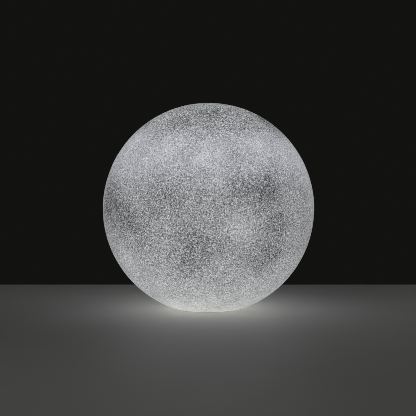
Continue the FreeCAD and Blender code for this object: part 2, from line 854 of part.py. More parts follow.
def port_door(doc, s, z):
    """The charging port's flap, with its knuckle and a tongue that fills the well's mouth."""
    body = new_body(doc, "port_door")
    middle = (s.door_near + s.door_far) / 2
    sketch = new_sketch(body, "plate", "XY_Plane", z["rim"])
    add_box(sketch, 0.0, middle, s.door_length, s.door_far - s.door_near)
    rise(body, sketch, s.door_thickness)
    round_edges(body, s.door_corner, lambda e: is_far_corner(e, s))
    sketch = new_sketch(body, "neck", "XY_Plane", z["rim"])
    neck_end = s.door_near + s.weld
    add_box(sketch, 0.0, (s.hinge_offset + neck_end) / 2, s.door_neck, neck_end - s.hinge_offset)
    rise(body, sketch, s.door_thickness)
    axle = z["rim"] + s.knuckle_radius
    sketch = add_circle(new_sketch(body, "knuckle", "YZ_Plane"), s.hinge_offset, axle, s.knuckle_radius)
    across(body, sketch, s.door_neck)
    sketch = new_sketch(body, "pin_way", "YZ_Plane")
    add_circle(sketch, s.hinge_offset, axle, s.hinge_pin_radius + s.small_gap)
    cut(body, sketch, s.door_neck + s.overcut, both_sides=True)
    sketch = new_sketch(body, "tongue", "XY_Plane", z["rim"] + s.door_thickness - s.weld)
    length, width = s.well_length - s.door_tongue_gap * 2, s.well_width - s.door_tongue_gap * 2
    add_box(sketch, 0.0, s.port_centre, length, width)
    rise(body, sketch, s.door_tongue + s.weld)
    return body


def is_far_corner(edge, s):
    """True for the plate's two upright edges away from the hinge."""
    first, last = edge.Vertexes[0].Point, edge.Vertexes[-1].Point
    upright = math.hypot(first.x - last.x, first.y - last.y) < CLOSE
    return upright and abs(first.y - number(s.door_far)) < CLOSE


def port_door_pin(doc, s, z):
    body = new_body(doc, "port_door_pin")
    axle = z["rim"] + s.knuckle_radius
    sketch = add_circle(new_sketch(body, "pin", "YZ_Plane"), s.hinge_offset, axle, s.hinge_pin_radius)
    across(body, sketch, s.hinge_pin_length)
    return body


def charge_socket(doc, s, z):
    """The upright charging receptacle under the board, with its contact tongue."""
    body = new_body(doc, "charge_socket")
    sketch = add_slot(new_sketch(body, "can", "XY_Plane", s.well_top), s, s.socket_length, s.socket_width)
    rise(body, sketch, s.board_low - s.well_top)
    inner_length, inner_width = s.socket_length - s.socket_wall * 2, s.socket_width - s.socket_wall * 2
    sketch = add_slot(new_sketch(body, "mouth", "XY_Plane", s.well_top), s, inner_length, inner_width)
    cut(body, sketch, s.socket_depth)
    sketch = new_sketch(body, "contact_tongue", "XY_Plane", s.well_top + s.socket_wall * 2)
    add_box(sketch, 0.0, s.port_centre, s.socket_tongue_length, s.socket_tongue_width)
    rise(body, sketch, s.socket_depth)
    return body


def add_slot(sketch, s, length, width):
    """A slot with round ends about the port's centre."""
    half, end = width / 2, (length - width) / 2
    low, high = s.port_centre - half, s.port_centre + half
    corners = [
        (-end, low),
        (end, low, Bow(half, 1)),
        (end + half, s.port_centre, Bow(half, 1)),
        (end, high),
        (-end, high, Bow(half, 1)),
        (-end - half, s.port_centre, Bow(half, 1)),
    ]
    return add_outline(sketch, corners)


def power_button(doc, s, z):
    """The push button's cap, with its retaining flange and stem, its face slightly dished."""
    body = new_body(doc, "power_button")
    flange_low = z["cover_top"] + s.button_stop
    flange_top = flange_low + s.button_flange_thickness
    spin(
        body,
        [
            (0.0, s.button_face + s.button_dish),
            (s.button_radius - s.button_rim, s.button_face),
            (s.button_radius - s.lead_in, s.button_face),
            (s.button_radius, s.button_face + s.lead_in),
            (s.button_radius, flange_low),
            (s.button_flange_radius, flange_low),
            (s.button_flange_radius, flange_top),
            (s.button_stem_radius, flange_top),
            (s.button_stem_radius, s.button_stem_top),
            (0.0, s.button_stem_top),
        ],
    )
    return body


def switch_parts(doc, s, z):
    """The tactile switch under the board, and its plunger, which moves with the button."""
    body = new_body(doc, "switch_body")
    low = s.board_low - s.switch_height
    sketch = add_box(new_sketch(body, "case", "XY_Plane", low), 0.0, 0.0, s.switch_side, s.switch_side)
    rise(body, sketch, s.switch_height)
    sketch = add_circle(new_sketch(body, "bore", "XY_Plane", low), 0.0, 0.0, s.plunger_radius + s.small_gap)
    cut(body, sketch, s.plunger_length + s.plunger_room - (low - s.button_stem_top))
    plunger = new_body(doc, "switch_plunger")
    sketch = new_sketch(plunger, "rod", "XY_Plane", s.button_stem_top)
    add_circle(sketch, 0.0, 0.0, s.plunger_radius)
    rise(plunger, sketch, s.plunger_length)
    return [body, plunger]


def light_pipe(doc, s, z):
    """The clear rod that brings the charging light to the underside."""
    body = new_body(doc, "light_pipe")
    sketch = new_sketch(body, "rod", "XY_Plane", s.light_pipe_low)
    add_circle(sketch, -s.light_pipe_offset, 0.0, s.light_pipe_radius)
    rise(body, sketch, s.light_pipe_high - s.light_pipe_low)
    return body


def control_board(doc, s, z):
    """The round circuit board on the cover's posts."""
    body = new_body(doc, "control_board")
    sketch = add_circle(new_sketch(body, "disc", "XY_Plane", s.board_low), 0.0, 0.0, s.board_radius)
    rise(body, sketch, s.board_thickness)
    sketch = new_sketch(body, "screw_way", "XY_Plane", s.board_low)
    add_circle(sketch, 0.0, s.board_post_circle, s.screw_small + s.screw_way_gap)
    ring_of(body, [cut(body, sketch, s.board_thickness)], BOARD_SCREWS)
    sketch = new_sketch(body, "lead_way", "XY_Plane", s.board_low)
    add_circle(sketch, 0.0, -s.lead_hole_offset, s.grommet_radius)
    cut(body, sketch, s.board_thickness)
    return body


def board_components(doc, s, z):
    """Coil, capacitors, chips, status light and small parts on the board, as separate solids."""
    body = new_body(doc, "board_components")
    sketch = add_circle(new_sketch(body, "coil", "XY_Plane", s.board_low), *COIL_PLACE, s.coil_radius)
    drop(body, sketch, s.coil_height)
    sketch = new_sketch(body, "capacitors", "XY_Plane", s.board_low)
    for place in CAPACITOR_PLACES:
        add_circle(sketch, *place, s.capacitor_radius)
    drop(body, sketch, s.capacitor_height)
    sketch = new_sketch(body, "chips", "XY_Plane", s.board_low)
    for place in CHIP_PLACES:
        add_box(sketch, *place, s.chip_side, s.chip_side)
    drop(body, sketch, s.chip_height)
    sketch = new_sketch(body, "status_led", "XY_Plane", s.board_low)
    add_box(sketch, -s.light_pipe_offset, 0.0, s.status_led_side, s.status_led_side)
    drop(body, sketch, s.status_led_height)
    sketch = new_sketch(body, "small_parts", "XY_Plane", s.board_low)
    for row in range(SMALL_PART_COUNTS[1]):
        for column in range(SMALL_PART_COUNTS[0]):
            x = SMALL_PART_CORNER[0] + column * SMALL_PART_PITCH[0]
            y = SMALL_PART_CORNER[1] + row * SMALL_PART_PITCH[1]
            add_box(sketch, x, y, s.small_part_length, s.small_part_length / 2)
    drop(body, sketch, s.small_part_length / 4)
    return body


def lead_plugs(doc, s, z):
    """The two plugs under the board that the cells' and the light board's leads end in."""
    body = new_body(doc, "lead_plugs")
    sketch = new_sketch(body, "plugs", "XY_Plane", s.board_low)
    add_box(sketch, s.battery_plug_end - s.plug_length / 2, 0.0, s.plug_length, s.plug_width)
    add_box(sketch, 0.0, s.plug_length / 2 - s.led_plug_end, s.plug_width, s.plug_length)
    drop(body, sketch, s.plug_height)
    return body


def battery_cells(doc, s, z):
    """Two round cells side by side, pointing opposite ways."""
    body = new_body(doc, "battery_cells")
    y = s.cell_spacing / 2
    nub = s.holder_length / 2 - s.holder_thickness - s.contact_thickness - s.small_gap
    can = nub - s.cell_nub_length
    tail = nub - s.cell_length
    height = s.cell_height
    sketch = add_outline(
        new_sketch(body, "cell", "XZ_Plane", -y),
        [
            (tail, height),
            (nub, height),
            (nub, height + s.cell_nub_radius),
            (can, height + s.cell_nub_radius),
            (can, height + s.cell_radius - s.cell_rounding),
            (can - s.cell_rounding, height + s.cell_radius),
            (tail + s.cell_rounding, height + s.cell_radius),
            (tail, height + s.cell_radius - s.cell_rounding),
        ],
    )
    cell = body.newObject("PartDesign::Revolution", "cell_turned")
    cell.Profile = sketch
    cell.ReferenceAxis = (sketch, ["Edge1"])
    cell.Angle = 360
    finish(body, cell)
    ring_of(body, [cell], 2)
    return body


def battery_holder(doc, s, z):
    """The tray under the deck that the cells clip into from below."""
    body = new_body(doc, "battery_holder")
    sketch = new_sketch(body, "back", "XY_Plane", z["holder_low"])
    add_box(sketch, 0.0, 0.0, s.holder_length, s.holder_width)
    rise(body, sketch, s.holder_thickness)
    end = (s.holder_length - s.holder_thickness) / 2
    sketch = new_sketch(body, "ends", "XY_Plane", s.holder_low)
    for x in (end, -end):
        add_box(sketch, x, 0.0, s.holder_thickness, s.holder_width)
    rise(body, sketch, z["holder_low"] + s.weld - s.holder_low)
    rail = (s.holder_width - s.holder_rail) / 2
    sketch = new_sketch(body, "rails", "XY_Plane", s.holder_rail_low)
    for y in (rail, -rail):
        add_box(sketch, 0.0, y, s.holder_length - s.holder_thickness, s.holder_rail)
    rise(body, sketch, z["holder_low"] + s.weld - s.holder_rail_low)
    sketch = new_sketch(body, "screw_way", "XY_Plane", z["holder_low"])
    add_circle(sketch, s.cell_spacing, 0.0, s.screw_small + s.screw_way_gap)
    ring_of(body, [cut(body, sketch, s.holder_thickness)], HOLDER_SCREWS)
    slot_width = s.contact_side / 2
    sketch = new_sketch(body, "tab_slots", "XY_Plane", s.tab_low)
    for y in (s.cell_spacing / 2, -s.cell_spacing / 2):
        add_box(sketch, end, y, s.holder_thickness + s.overcut, slot_width)
    cut(body, sketch, s.contact_thickness * 2)
    return body


def battery_contacts(doc, s, z):
    """Two contacts with solder tabs at one end of the holder, and a link strip at the other."""
    body = new_body(doc, "battery_contacts")
    inner_face = s.holder_length / 2 - s.holder_thickness
    outer_face = s.holder_length / 2
    y = s.cell_spacing / 2
    low = s.cell_height - s.contact_side / 2
    for sign, name in ((1, "plus"), (-1, "minus")):
        sketch = new_sketch(body, name + "_plate", "XY_Plane", low)
        add_box(sketch, inner_face - s.contact_thickness / 2, y * sign, s.contact_thickness, s.contact_side)
        rise(body, sketch, s.contact_side)
        sketch = new_sketch(body, name + "_tab", "XY_Plane", s.tab_low)
        tab_inner = s.lead_pitch / 2 - s.lead_radius
        tab_outer = y + s.contact_side / 4
        middle = (tab_inner + tab_outer) / 2
        tab_face = outer_face + s.contact_thickness / 2
        add_box(sketch, tab_face, middle * sign, s.contact_thickness, tab_outer - tab_inner)
        rise(body, sketch, s.tab_height)
        sketch = new_sketch(body, name + "_web", "XY_Plane", s.tab_low + s.contact_thickness / 2)
        web = outer_face - inner_face + s.contact_thickness
        web_width = s.contact_side / 2 - s.cover_gap * 2
        add_box(sketch, (outer_face + inner_face) / 2, y * sign, web, web_width)
        rise(body, sketch, s.contact_thickness)
    sketch = new_sketch(body, "link", "XY_Plane", low)
    link_width = s.cell_spacing + s.contact_side
    add_box(sketch, s.contact_thickness / 2 - inner_face, 0.0, s.contact_thickness, link_width)
    rise(body, sketch, s.contact_side)
    return body


def led_parts(doc, s, z):
    """The heat spreader, the light board and its ring of light-emitting chips."""
    spreader = new_body(doc, "heat_spreader")
    sketch = add_circle(new_sketch(spreader, "disc", "XY_Plane", s.deck_top), 0.0, 0.0, s.spreader_radius)
    rise(spreader, sketch, s.spreader_thickness)
    board = new_body(doc, "led_board")
    sketch = new_sketch(board, "disc", "XY_Plane", z["spreader_top"])
    add_circle(sketch, 0.0, 0.0, s.led_board_radius)
    rise(board, sketch, s.led_board_thickness)
    for body, low, lead_hole in (
        (spreader, s.deck_top, s.grommet_lip_radius + s.pocket_gap),
        (board, z["spreader_top"], s.grommet_bore + s.pocket_gap),
    ):
        sketch = new_sketch(body, "screw_way", "XY_Plane", low)
        add_circle(sketch, 0.0, s.led_screw_circle, s.screw_three + s.screw_way_gap)
        ring_of(body, [cut(body, sketch, s.led_board_thickness)], LED_BOARD_SCREWS)
        sketch = new_sketch(body, "lead_way", "XY_Plane", low)
        add_circle(sketch, 0.0, -s.lead_hole_offset, lead_hole)
        cut(body, sketch, s.led_board_thickness)
    chips = new_body(doc, "led_chips")
    for name, circle, start, count in (
        ("inner", s.inner_led_circle, 0, INNER_LEDS),
        ("outer", s.outer_led_circle, 15, OUTER_LEDS),
    ):
        x, y = around(circle, start)
        sketch = new_sketch(chips, name, "XY_Plane", z["led_board_top"])
        add_box(sketch, x, y, s.led_width, s.led_length)
        ring_of(chips, [rise(chips, sketch, s.led_height)], count)
    return [spreader, board, chips]


def light_dome(doc, s, z):
    """The opal dome over the light board, on a flange screwed to the deck."""
    body = new_body(doc, "light_dome")
    top = z["dome_flange_top"]
    rise_height = s.dome_top - top
    radius = (s.dome_radius * s.dome_radius + rise_height * rise_height) / (rise_height * 2)
    inner_radius = radius - s.dome_wall
    centre = s.dome_top - radius
    inner_foot = root(inner_radius * inner_radius - (centre - top) * (centre - top))
    spin(
        body,
        [
            (s.dome_flange_inner, s.deck_top),
            (s.dome_flange_radius, s.deck_top),
            (s.dome_flange_radius, top),
            (s.dome_radius, top, Bow(radius, 1)),
            (0.0, s.dome_top),
            (0.0, s.dome_top - s.dome_wall, Bow(inner_radius, -1)),
            (inner_foot, top),
        ],
    )
    sketch = new_sketch(body, "screw_way", "XY_Plane", s.deck_top)
    add_circle(sketch, s.dome_screw_circle, 0.0, s.screw_small + s.screw_way_gap)
    ring_of(body, [cut(body, sketch, s.dome_flange_thickness)], DOME_SCREWS)
    return body


def lead_grommet(doc, s, z):
    """The rubber bush where the light board's leads pass the deck."""
    body = new_body(doc, "lead_grommet")
    x = s.lead_hole_offset
    low, high = z["deck_low"] - s.small_gap, s.deck_top + s.small_gap
    spin(
        body,
        [
            (x, low - s.grommet_lip),
            (x + s.grommet_lip_radius, low - s.grommet_lip),
            (x + s.grommet_lip_radius, low),
            (x + s.grommet_radius, low),
            (x + s.grommet_radius, high),
            (x + s.grommet_lip_radius, high),
            (x + s.grommet_lip_radius, high + s.grommet_lip),
            (x, high + s.grommet_lip),
        ],
        axis="Edge8",
    )
    body.Placement = Placement(Vector(0, 0, 0), Rotation(Vector(0, 0, 1), -90))
    sketch = add_circle(new_sketch(body, "bore", "XY_Plane", low - s.grommet_lip), x, 0.0, s.grommet_bore)
    cut(body, sketch, s.deck_top)
    return body


def rubber_feet(doc, s, z):
    """Four pads in the flange's underside that the lamp stands on."""
    body = new_body(doc, "rubber_feet")
    x = s.foot_circle
    top = z["rim"] + s.foot_recess - s.small_gap
    foot = spin(
        body,
        [
            (x, 0.0),
            (x + s.foot_radius - s.foot_chamfer, 0.0),
            (x + s.foot_radius, s.foot_chamfer),
            (x + s.foot_radius, top),
            (x, top),
        ],
        axis="Edge5",
    )
    ring_of(body, [foot], FEET)
    return body


def globe_clips(doc, s, z):
    """Three bowed leaf springs on the spigot that press on the collar's bore."""
    body = new_body(doc, "globe_clips")
    inner = s.spigot_radius - s.clip_pocket_depth + s.small_gap
    outer = inner + s.clip_thickness
    half = (s.clip_bow_high - s.clip_bow_low) / 2
    radius = (half * half + s.clip_bow * s.clip_bow) / (s.clip_bow * 2)
    sketch = add_outline(
        new_sketch(body, "leaf", "XZ_Plane"),
        [
            (inner, s.clip_low),
            (outer, s.clip_low),
            (outer, s.clip_bow_low, Bow(radius, 1)),
            (outer, s.clip_bow_high),
            (outer, s.clip_high),
            (inner, s.clip_high),
            (inner, s.clip_bow_high, Bow(radius, -1)),
            (inner, s.clip_bow_low),
        ],
    )
    leaf = across(body, sketch, s.clip_width)
    hole = s.clip_screw + s.screw_way_gap
    holes = screw_bore(body, s, "leaf_hole", inner - s.weld, outer + s.pocket_gap, hole)
    ring_of(body, [leaf, holes], CLIPS)
    return body


def clip_screws(doc, s, z):
    """The low-headed screws that hold the clips, pointing at the lamp's axis."""
    body = new_body(doc, "clip_screws")
    seat = s.spigot_radius - s.clip_pocket_depth + s.small_gap + s.clip_thickness
    tip = s.spigot_radius - s.spigot_wall + s.small_gap
    height = s.clip_screw_height
    face, bevel = seat + s.clip_screw_head_height, s.clip_screw_head_height / 2
    screw = spin(
        body,
        [
            (tip, height),
            (face, height),
            (face, height + s.clip_screw_head - bevel),
            (face - bevel, height + s.clip_screw_head),
            (seat, height + s.clip_screw_head),
            (seat, height + s.clip_screw),
            (tip, height + s.clip_screw),
        ],
        axis="Edge1",
    )
    ring_of(body, [screw], CLIPS)
    return body


def coil_point(centre, radius, start, height, turn, along):
    """A point of a coil and its heading, after some turns; along is the coil's axis."""
    side = Vector(0, 1, 0) if abs(along.y) < 0.5 else Vector(1, 0, 0)
    up = along.cross(side)
    angle = 2 * math.pi * turn
    out = side * math.cos(angle) + up * math.sin(angle)
    sideways = up * math.cos(angle) - side * math.sin(angle)
    point = centre + out * radius + along * (start + height * turn)
    heading = (sideways * (2 * math.pi * radius) + along * height).normalize()
    return point, heading


def biarc(start, start_heading, end, end_heading):
    """Two arcs that join two points and keep both headings."""
    gap = end - start
    both = start_heading + end_heading
    spread = 2 * (1 - start_heading.dot(end_heading))
    reach = (-gap.dot(both) + math.sqrt(gap.dot(both) ** 2 + spread * gap.dot(gap))) / spread
    first, second = start + start_heading * reach, end - end_heading * reach
    middle = (first + second) * 0.5
    return [arc_by_tangents(start, first, middle), arc_by_tangents(middle, second, end)]


def arc_by_tangents(start, crossing, end):
    """The arc between two points whose end tangents cross at a third."""
    chord_middle = (start + end) * 0.5
    to_start, to_crossing = start - crossing, chord_middle - crossing
    half_turn = to_start.getAngle(to_crossing)
    radius = to_start.Length * math.tan(half_turn)
    centre_distance = to_start.Length / math.cos(half_turn)
    direction = Vector(to_crossing).normalize()
    return Part.Arc(start, crossing + direction * (centre_distance - radius), end)


def coil(centre, along, radius, wire, length, turns):
    """A wound spring: one wire on arcs of an eighth of a turn, length long over its wire."""
    pitch = (length - wire * 2) / turns
    start = wire
    edges = []
    steps = turns * QUARTERS_A_TURN
    for step in range(steps):
        here = coil_point(centre, radius, start, pitch, step / QUARTERS_A_TURN, along)
        there = coil_point(centre, radius, start, pitch, (step + 1) / QUARTERS_A_TURN, along)
        edges += [arc.toShape() for arc in biarc(here[0], here[1], there[0], there[1])]
    point, heading = coil_point(centre, radius, start, pitch, 0, along)
    print("coil: gap between turns %.2f mm" % (pitch - wire * 2))
    return pipe(Part.Wire(edges), point, heading, wire)


def pipe(path, start, heading, radius):
    """A round solid along a path."""
    section = Part.Wire([Part.Circle(start, heading, radius).toShape()])
    return path.makePipeShell([section], True, False)


def button_spring(doc, s, z):
    """The button's return spring, between its flange and the board."""
    low = number(z["cover_top"] + s.button_stop + s.button_flange_thickness + s.small_gap)
    length = number(s.board_low) - low - number(s.small_gap)
    wire, radius = number(s.button_spring_wire) / 2, number(s.button_spring_radius)
    shape = coil(Vector(0, 0, low), Vector(0, 0, 1), radius, wire, length, BUTTON_SPRING_TURNS)
    return shape_node(doc, "button_spring", shape)


def battery_springs(doc, s, z):
    """The coil behind each cell's flat end."""
    y = number(s.cell_spacing / 2)
    plate = number(s.holder_length / 2 - s.holder_thickness - s.contact_thickness)
    nub = plate - number(s.small_gap)
    gap = number(s.small_gap)
    length = plate + nub - number(s.cell_length) - gap * 2
    wire, radius = number(s.battery_spring_wire) / 2, number(s.battery_spring_radius)
    height = number(s.cell_height)
    coils = []
    for sign in (1, -1):
        centre = Vector(-sign * (plate - gap), sign * y, height)
        along = Vector(sign, 0, 0)
        coils.append(coil(centre, along, radius, wire, length, BATTERY_SPRING_TURNS))
    return shape_node(doc, "battery_springs", Part.makeCompound(coils))


def bent_lead(start, corner, end, bend, radius):
    """A lead of two straight runs and one bend."""
    into, out = (corner - start).normalize(), (end - corner).normalize()
    first, second = corner - into * bend, corner + out * bend
    middle = corner + (out - into) * bend - (out - into).normalize() * bend
    edges = [
        Part.LineSegment(start, first).toShape(),
        Part.Arc(first, middle, second).toShape(),
        Part.LineSegment(second, end).toShape(),
    ]
    return pipe(Part.Wire(edges), start, into, radius)


def leads(doc, s, z):
    """The cells' leads to the board, and the board's leads up to the light board."""
    half_pitch = number(s.lead_pitch) / 2
    radius, bend, height = number(s.lead_radius), number(s.lead_bend), number(s.lead_height)
    start_x = number(s.battery_plug_end)
    column_x = number(s.holder_length / 2 + s.contact_thickness + s.lead_radius + s.small_gap)
    tab_top = number(s.tab_low + s.tab_height)
    plug_y, column_y = -number(s.led_plug_end), -number(s.lead_hole_offset)
    solder = number(z["led_board_top"] + s.solder_height)
    nodes = []
    for name, side in (("red", 1), ("black", -1)):
        y = half_pitch * side
        route = Vector(start_x, y, height), Vector(column_x, y, height), Vector(column_x, y, tab_top)
        nodes.append(shape_node(doc, "battery_lead_" + name, bent_lead(*route, bend, radius)))
        route = Vector(y, plug_y, height), Vector(y, column_y, height), Vector(y, column_y, solder)
        nodes.append(shape_node(doc, "led_lead_" + name, bent_lead(*route, bend, radius)))
    return nodes


def all_screws(doc, s, z):
    """Every ring of round-headed screws."""
    big = (s.screw_three, s.screw_three_head, s.screw_three_head_height)
    small = (s.screw_small, s.screw_small_head, s.screw_small_head_height)
    on_led_board, on_dome = z["led_board_top"], z["dome_flange_top"]
    kinds = [
        ("cover", s.cover_screw_circle, z["cover_seat"], False, big, s.cover_screw_length, COVER_SCREWS, 45),
        ("board", s.board_post_circle, z["board_top"], True, small, s.board_screw_length, BOARD_SCREWS, 90),
        ("holder", s.cell_spacing, z["holder_low"], False, small, s.holder_screw_length, HOLDER_SCREWS, 0),
        ("led_board", s.led_screw_circle, on_led_board, True, big, s.led_screw_length, LED_BOARD_SCREWS, 90),
        ("dome", s.dome_screw_circle, on_dome, True, small, s.dome_screw_length, DOME_SCREWS, 0),
    ]
    return [pan_screws(doc, s, *kind) for kind in kinds]


def glide_ring(doc, s, z):
    """The loose felt ring on the base's flange that the globe turns on."""
    inner, outer = s.glide_inner_radius, s.glide_outer_radius
    return flat_ring(doc, "glide_ring", inner, outer, z["flange_top"], z["glide_top"])


def cover_gasket(doc, s, z):
    """The seal between the base's cover and its housing."""
    inner, outer = s.cover_radius - s.gasket_width, s.cover_radius
    return flat_ring(doc, "cover_gasket", inner, outer, z["cover_top"], z["ledge"] - s.small_gap)


def build():
    doc = FreeCAD.newDocument("moon_lamp")
    s = Sizes(doc)
    z = levels(s)
    nodes = [
        globe_shell(doc, s, z),
        mouth_collar(doc, s, z),
        collar_screws(doc, s, z),
        glide_ring(doc, s, z),
        base_housing(doc, s, z),
        base_cover(doc, s, z),
        cover_gasket(doc, s, z),
        rubber_feet(doc, s, z),
        globe_clips(doc, s, z),
        clip_screws(doc, s, z),
        port_door(doc, s, z),
        port_door_pin(doc, s, z),
        charge_socket(doc, s, z),
        power_button(doc, s, z),
        button_spring(doc, s, z),
        light_pipe(doc, s, z),
        control_board(doc, s, z),
        board_components(doc, s, z),
        lead_plugs(doc, s, z),
        battery_cells(doc, s, z),
        battery_holder(doc, s, z),
        battery_contacts(doc, s, z),
        battery_springs(doc, s, z),
        light_dome(doc, s, z),
        lead_grommet(doc, s, z),
    ]
    nodes += switch_parts(doc, s, z)
    nodes += led_parts(doc, s, z)
    nodes += leads(doc, s, z)
    nodes += all_screws(doc, s, z)
    doc.recompute()
    return doc, nodes


def check(doc, nodes):
    """Stops unless every object and every sub-part's shape is sound."""
    for thing in doc.Objects:
        if "Invalid" in thing.State or "Error" in thing.State:
            raise RuntimeError("%s failed: %s" % (thing.Label, thing.State))
    for node in nodes:
        if node.Shape.isNull() or not node.Shape.isValid() or not node.Shape.Solids:
            raise RuntimeError("%s has no sound shape" % node.Label)


def export(nodes):
    os.makedirs("parts", exist_ok=True)
    for node in nodes:
        shape = node.Shape
        solids = shape.Solids
        whole = solids[0] if len(solids) == 1 else Part.makeCompound(solids)
        whole.exportStep("parts/%s.step" % node.Label)
        print("%-18s %2d solids %12.1f mm3" % (node.Label, len(solids), shape.Volume))


document, sub_parts = build()
check(document, sub_parts)
export(sub_parts)
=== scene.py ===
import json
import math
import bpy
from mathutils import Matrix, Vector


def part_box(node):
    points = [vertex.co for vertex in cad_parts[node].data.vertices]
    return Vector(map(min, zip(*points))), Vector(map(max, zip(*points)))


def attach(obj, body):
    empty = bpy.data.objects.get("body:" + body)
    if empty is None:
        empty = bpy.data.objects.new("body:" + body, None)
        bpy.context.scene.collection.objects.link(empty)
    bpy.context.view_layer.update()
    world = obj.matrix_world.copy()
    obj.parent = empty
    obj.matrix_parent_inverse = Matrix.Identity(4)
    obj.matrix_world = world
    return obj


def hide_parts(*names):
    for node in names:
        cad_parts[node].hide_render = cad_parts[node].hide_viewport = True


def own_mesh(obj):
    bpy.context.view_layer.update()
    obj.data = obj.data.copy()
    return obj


bl_info = {
    "name": "Moon lamp",
    "version": (1, 0, 0),
    "blender": (4, 5, 0),
    "location": "3D View > Sidebar > Moon lamp",
    "description": "Dresses the packed moon lamp, lights it and sets its stage",
    "category": "Object",
}

import bmesh
import bpy
from bpy.props import FloatProperty, FloatVectorProperty, IntProperty, PointerProperty
from mathutils import Matrix, Vector

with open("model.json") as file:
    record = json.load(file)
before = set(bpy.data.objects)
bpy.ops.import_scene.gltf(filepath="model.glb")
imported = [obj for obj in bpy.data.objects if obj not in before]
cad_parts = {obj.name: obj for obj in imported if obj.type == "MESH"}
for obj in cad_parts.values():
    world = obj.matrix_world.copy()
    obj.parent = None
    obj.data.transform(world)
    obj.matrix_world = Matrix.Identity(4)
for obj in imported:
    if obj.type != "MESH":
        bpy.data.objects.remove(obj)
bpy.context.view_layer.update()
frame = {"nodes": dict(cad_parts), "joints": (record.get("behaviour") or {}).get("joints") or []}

MM = 0.001
MM_PER_METRE = 1000.0
GLOBE_LOW, GLOBE_HIGH = map(Vector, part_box("globe_shell"))
RING_LOW, RING_HIGH = map(Vector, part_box("glide_ring"))
CELL_LOW, CELL_HIGH = map(Vector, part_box("battery_cells"))
_, FOOT_HIGH = map(Vector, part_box("rubber_feet"))

# Points of a mesh that lie this close are one point.
WELD = 1e-6

# Where the globe's soft dark and light clouds lie: across, up (both in globe radii, seen from that side),
# radius in globe radii, and how much they darken (-) or lighten (+).
FRONT_CLOUDS = (
    (-0.89, 0.06, 0.31, -0.21),
    (-0.74, -0.04, 0.22, -0.13),
    (-0.62, -0.13, 0.20, -0.09),
    (-0.46, 0.08, 0.20, -0.08),
    (-0.27, 0.14, 0.16, -0.06),
    (-0.13, -0.27, 0.26, -0.09),
    (-0.17, -0.47, 0.18, -0.11),
    (0.50, 0.21, 0.23, -0.14),
    (0.28, 0.22, 0.17, -0.08),
    (0.60, -0.08, 0.19, -0.09),
    (0.54, -0.35, 0.19, -0.09),
    (0.42, -0.46, 0.18, -0.08),
    (0.02, 0.88, 0.20, -0.11),
    (-0.27, 0.80, 0.19, -0.08),
    (0.56, 0.81, 0.29, -0.22),
    (0.93, -0.25, 0.22, -0.04),
    (0.94, 0.20, 0.22, 0.06),
    (0.00, 0.47, 0.26, 0.07),
    (-0.34, 0.56, 0.22, 0.05),
    (0.39, 0.59, 0.22, 0.06),
    (-0.66, 0.65, 0.24, 0.08),
    (-0.74, -0.40, 0.22, 0.07),
    (0.28, -0.11, 0.24, 0.09),
    (0.06, 0.24, 0.17, 0.07),
    (-0.25, -0.89, 0.24, 0.05),
)
RIGHT_CLOUDS = (
    (0.20, -0.04, 0.23, -0.12),
    (0.40, 0.20, 0.19, -0.10),
    (0.30, -0.42, 0.21, -0.10),
    (0.52, -0.18, 0.17, -0.07),
    (0.14, 0.76, 0.20, -0.09),
    (0.26, 0.50, 0.24, 0.07),
)
BACK_CLOUDS = (
    (0.70, 0.20, 0.22, -0.13),
    (0.42, 0.02, 0.19, -0.12),
    (0.20, 0.28, 0.18, -0.10),
    (-0.10, -0.08, 0.24, -0.14),
    (-0.36, 0.14, 0.18, -0.11),
    (-0.66, 0.08, 0.20, -0.13),
    (-0.52, -0.30, 0.20, -0.09),
    (-0.05, -0.46, 0.19, -0.11),
    (0.44, -0.36, 0.22, -0.10),
    (0.74, -0.22, 0.20, -0.08),
    (-0.30, 0.78, 0.20, -0.10),
    (0.30, 0.74, 0.18, -0.07),
    (-0.10, 0.52, 0.26, 0.08),
    (0.50, 0.55, 0.22, 0.06),
    (-0.60, 0.54, 0.22, 0.06),
)
LEFT_CLOUDS = (
    (-0.22, 0.14, 0.24, -0.12),
    (-0.44, -0.08, 0.19, -0.10),
    (-0.20, -0.40, 0.21, -0.09),
    (-0.46, -0.46, 0.17, -0.07),
    (-0.16, 0.74, 0.20, -0.08),
    (-0.36, 0.48, 0.22, 0.06),
)
# Degrees that each side is turned from the front, and its clouds.
SIDES = ((0, FRONT_CLOUDS), (90, RIGHT_CLOUDS), (180, BACK_CLOUDS), (270, LEFT_CLOUDS))
# The share of a cloud's radius that is at full strength, and how far noise pulls its edge, in globe radii.
CLOUD_CORE = 0.15
CLOUD_WOBBLE = 0.06

# The lit globe's colour on the screen, from its lowest point (0) to its top (1).
GLOBE_TONES = (
    (0.00, (0.735, 0.737, 0.716)),
    (0.03, (0.710, 0.713, 0.696)),
    (0.06, (0.684, 0.689, 0.678)),
    (0.13, (0.635, 0.642, 0.645)),
    (0.24, (0.590, 0.597, 0.605)),
    (0.34, (0.540, 0.545, 0.553)),
    (0.60, (0.535, 0.540, 0.550)),
    (0.72, (0.642, 0.646, 0.668)),
    (0.80, (0.646, 0.652, 0.676)),
    (0.90, (0.550, 0.555, 0.565)),
    (1.00, (0.540, 0.545, 0.550)),
)
SCREEN_GAMMA = 2.2
# The brightness at which the print's speckle fades out, its gain below that, and what each noise adds to it.
SPECKLE_FADES_AT = 0.88
SPECKLE_GAIN = 3.4
SPECKS_SHARE, WORMS_SHARE = 4.6, 0.9
# Heights between which the speckle changes, in globe radii from the centre, and by how much.
SPECKLE_BANDS = ((0.6, 0.95, 0.6), (0.92, 1.0, -0.45), (-0.6, -1.0, -0.3))

# Radii of the light board's copper rings, of its bare edge and of the lit middle of its dome, in millimetres.
COPPER_RINGS = (12.0, 21.0, 30.0)
BOARD_EDGE = (35.0, 35.6)
DOME_GLOW_ENDS = (44.0, 26.0)


# -------------------- node trees


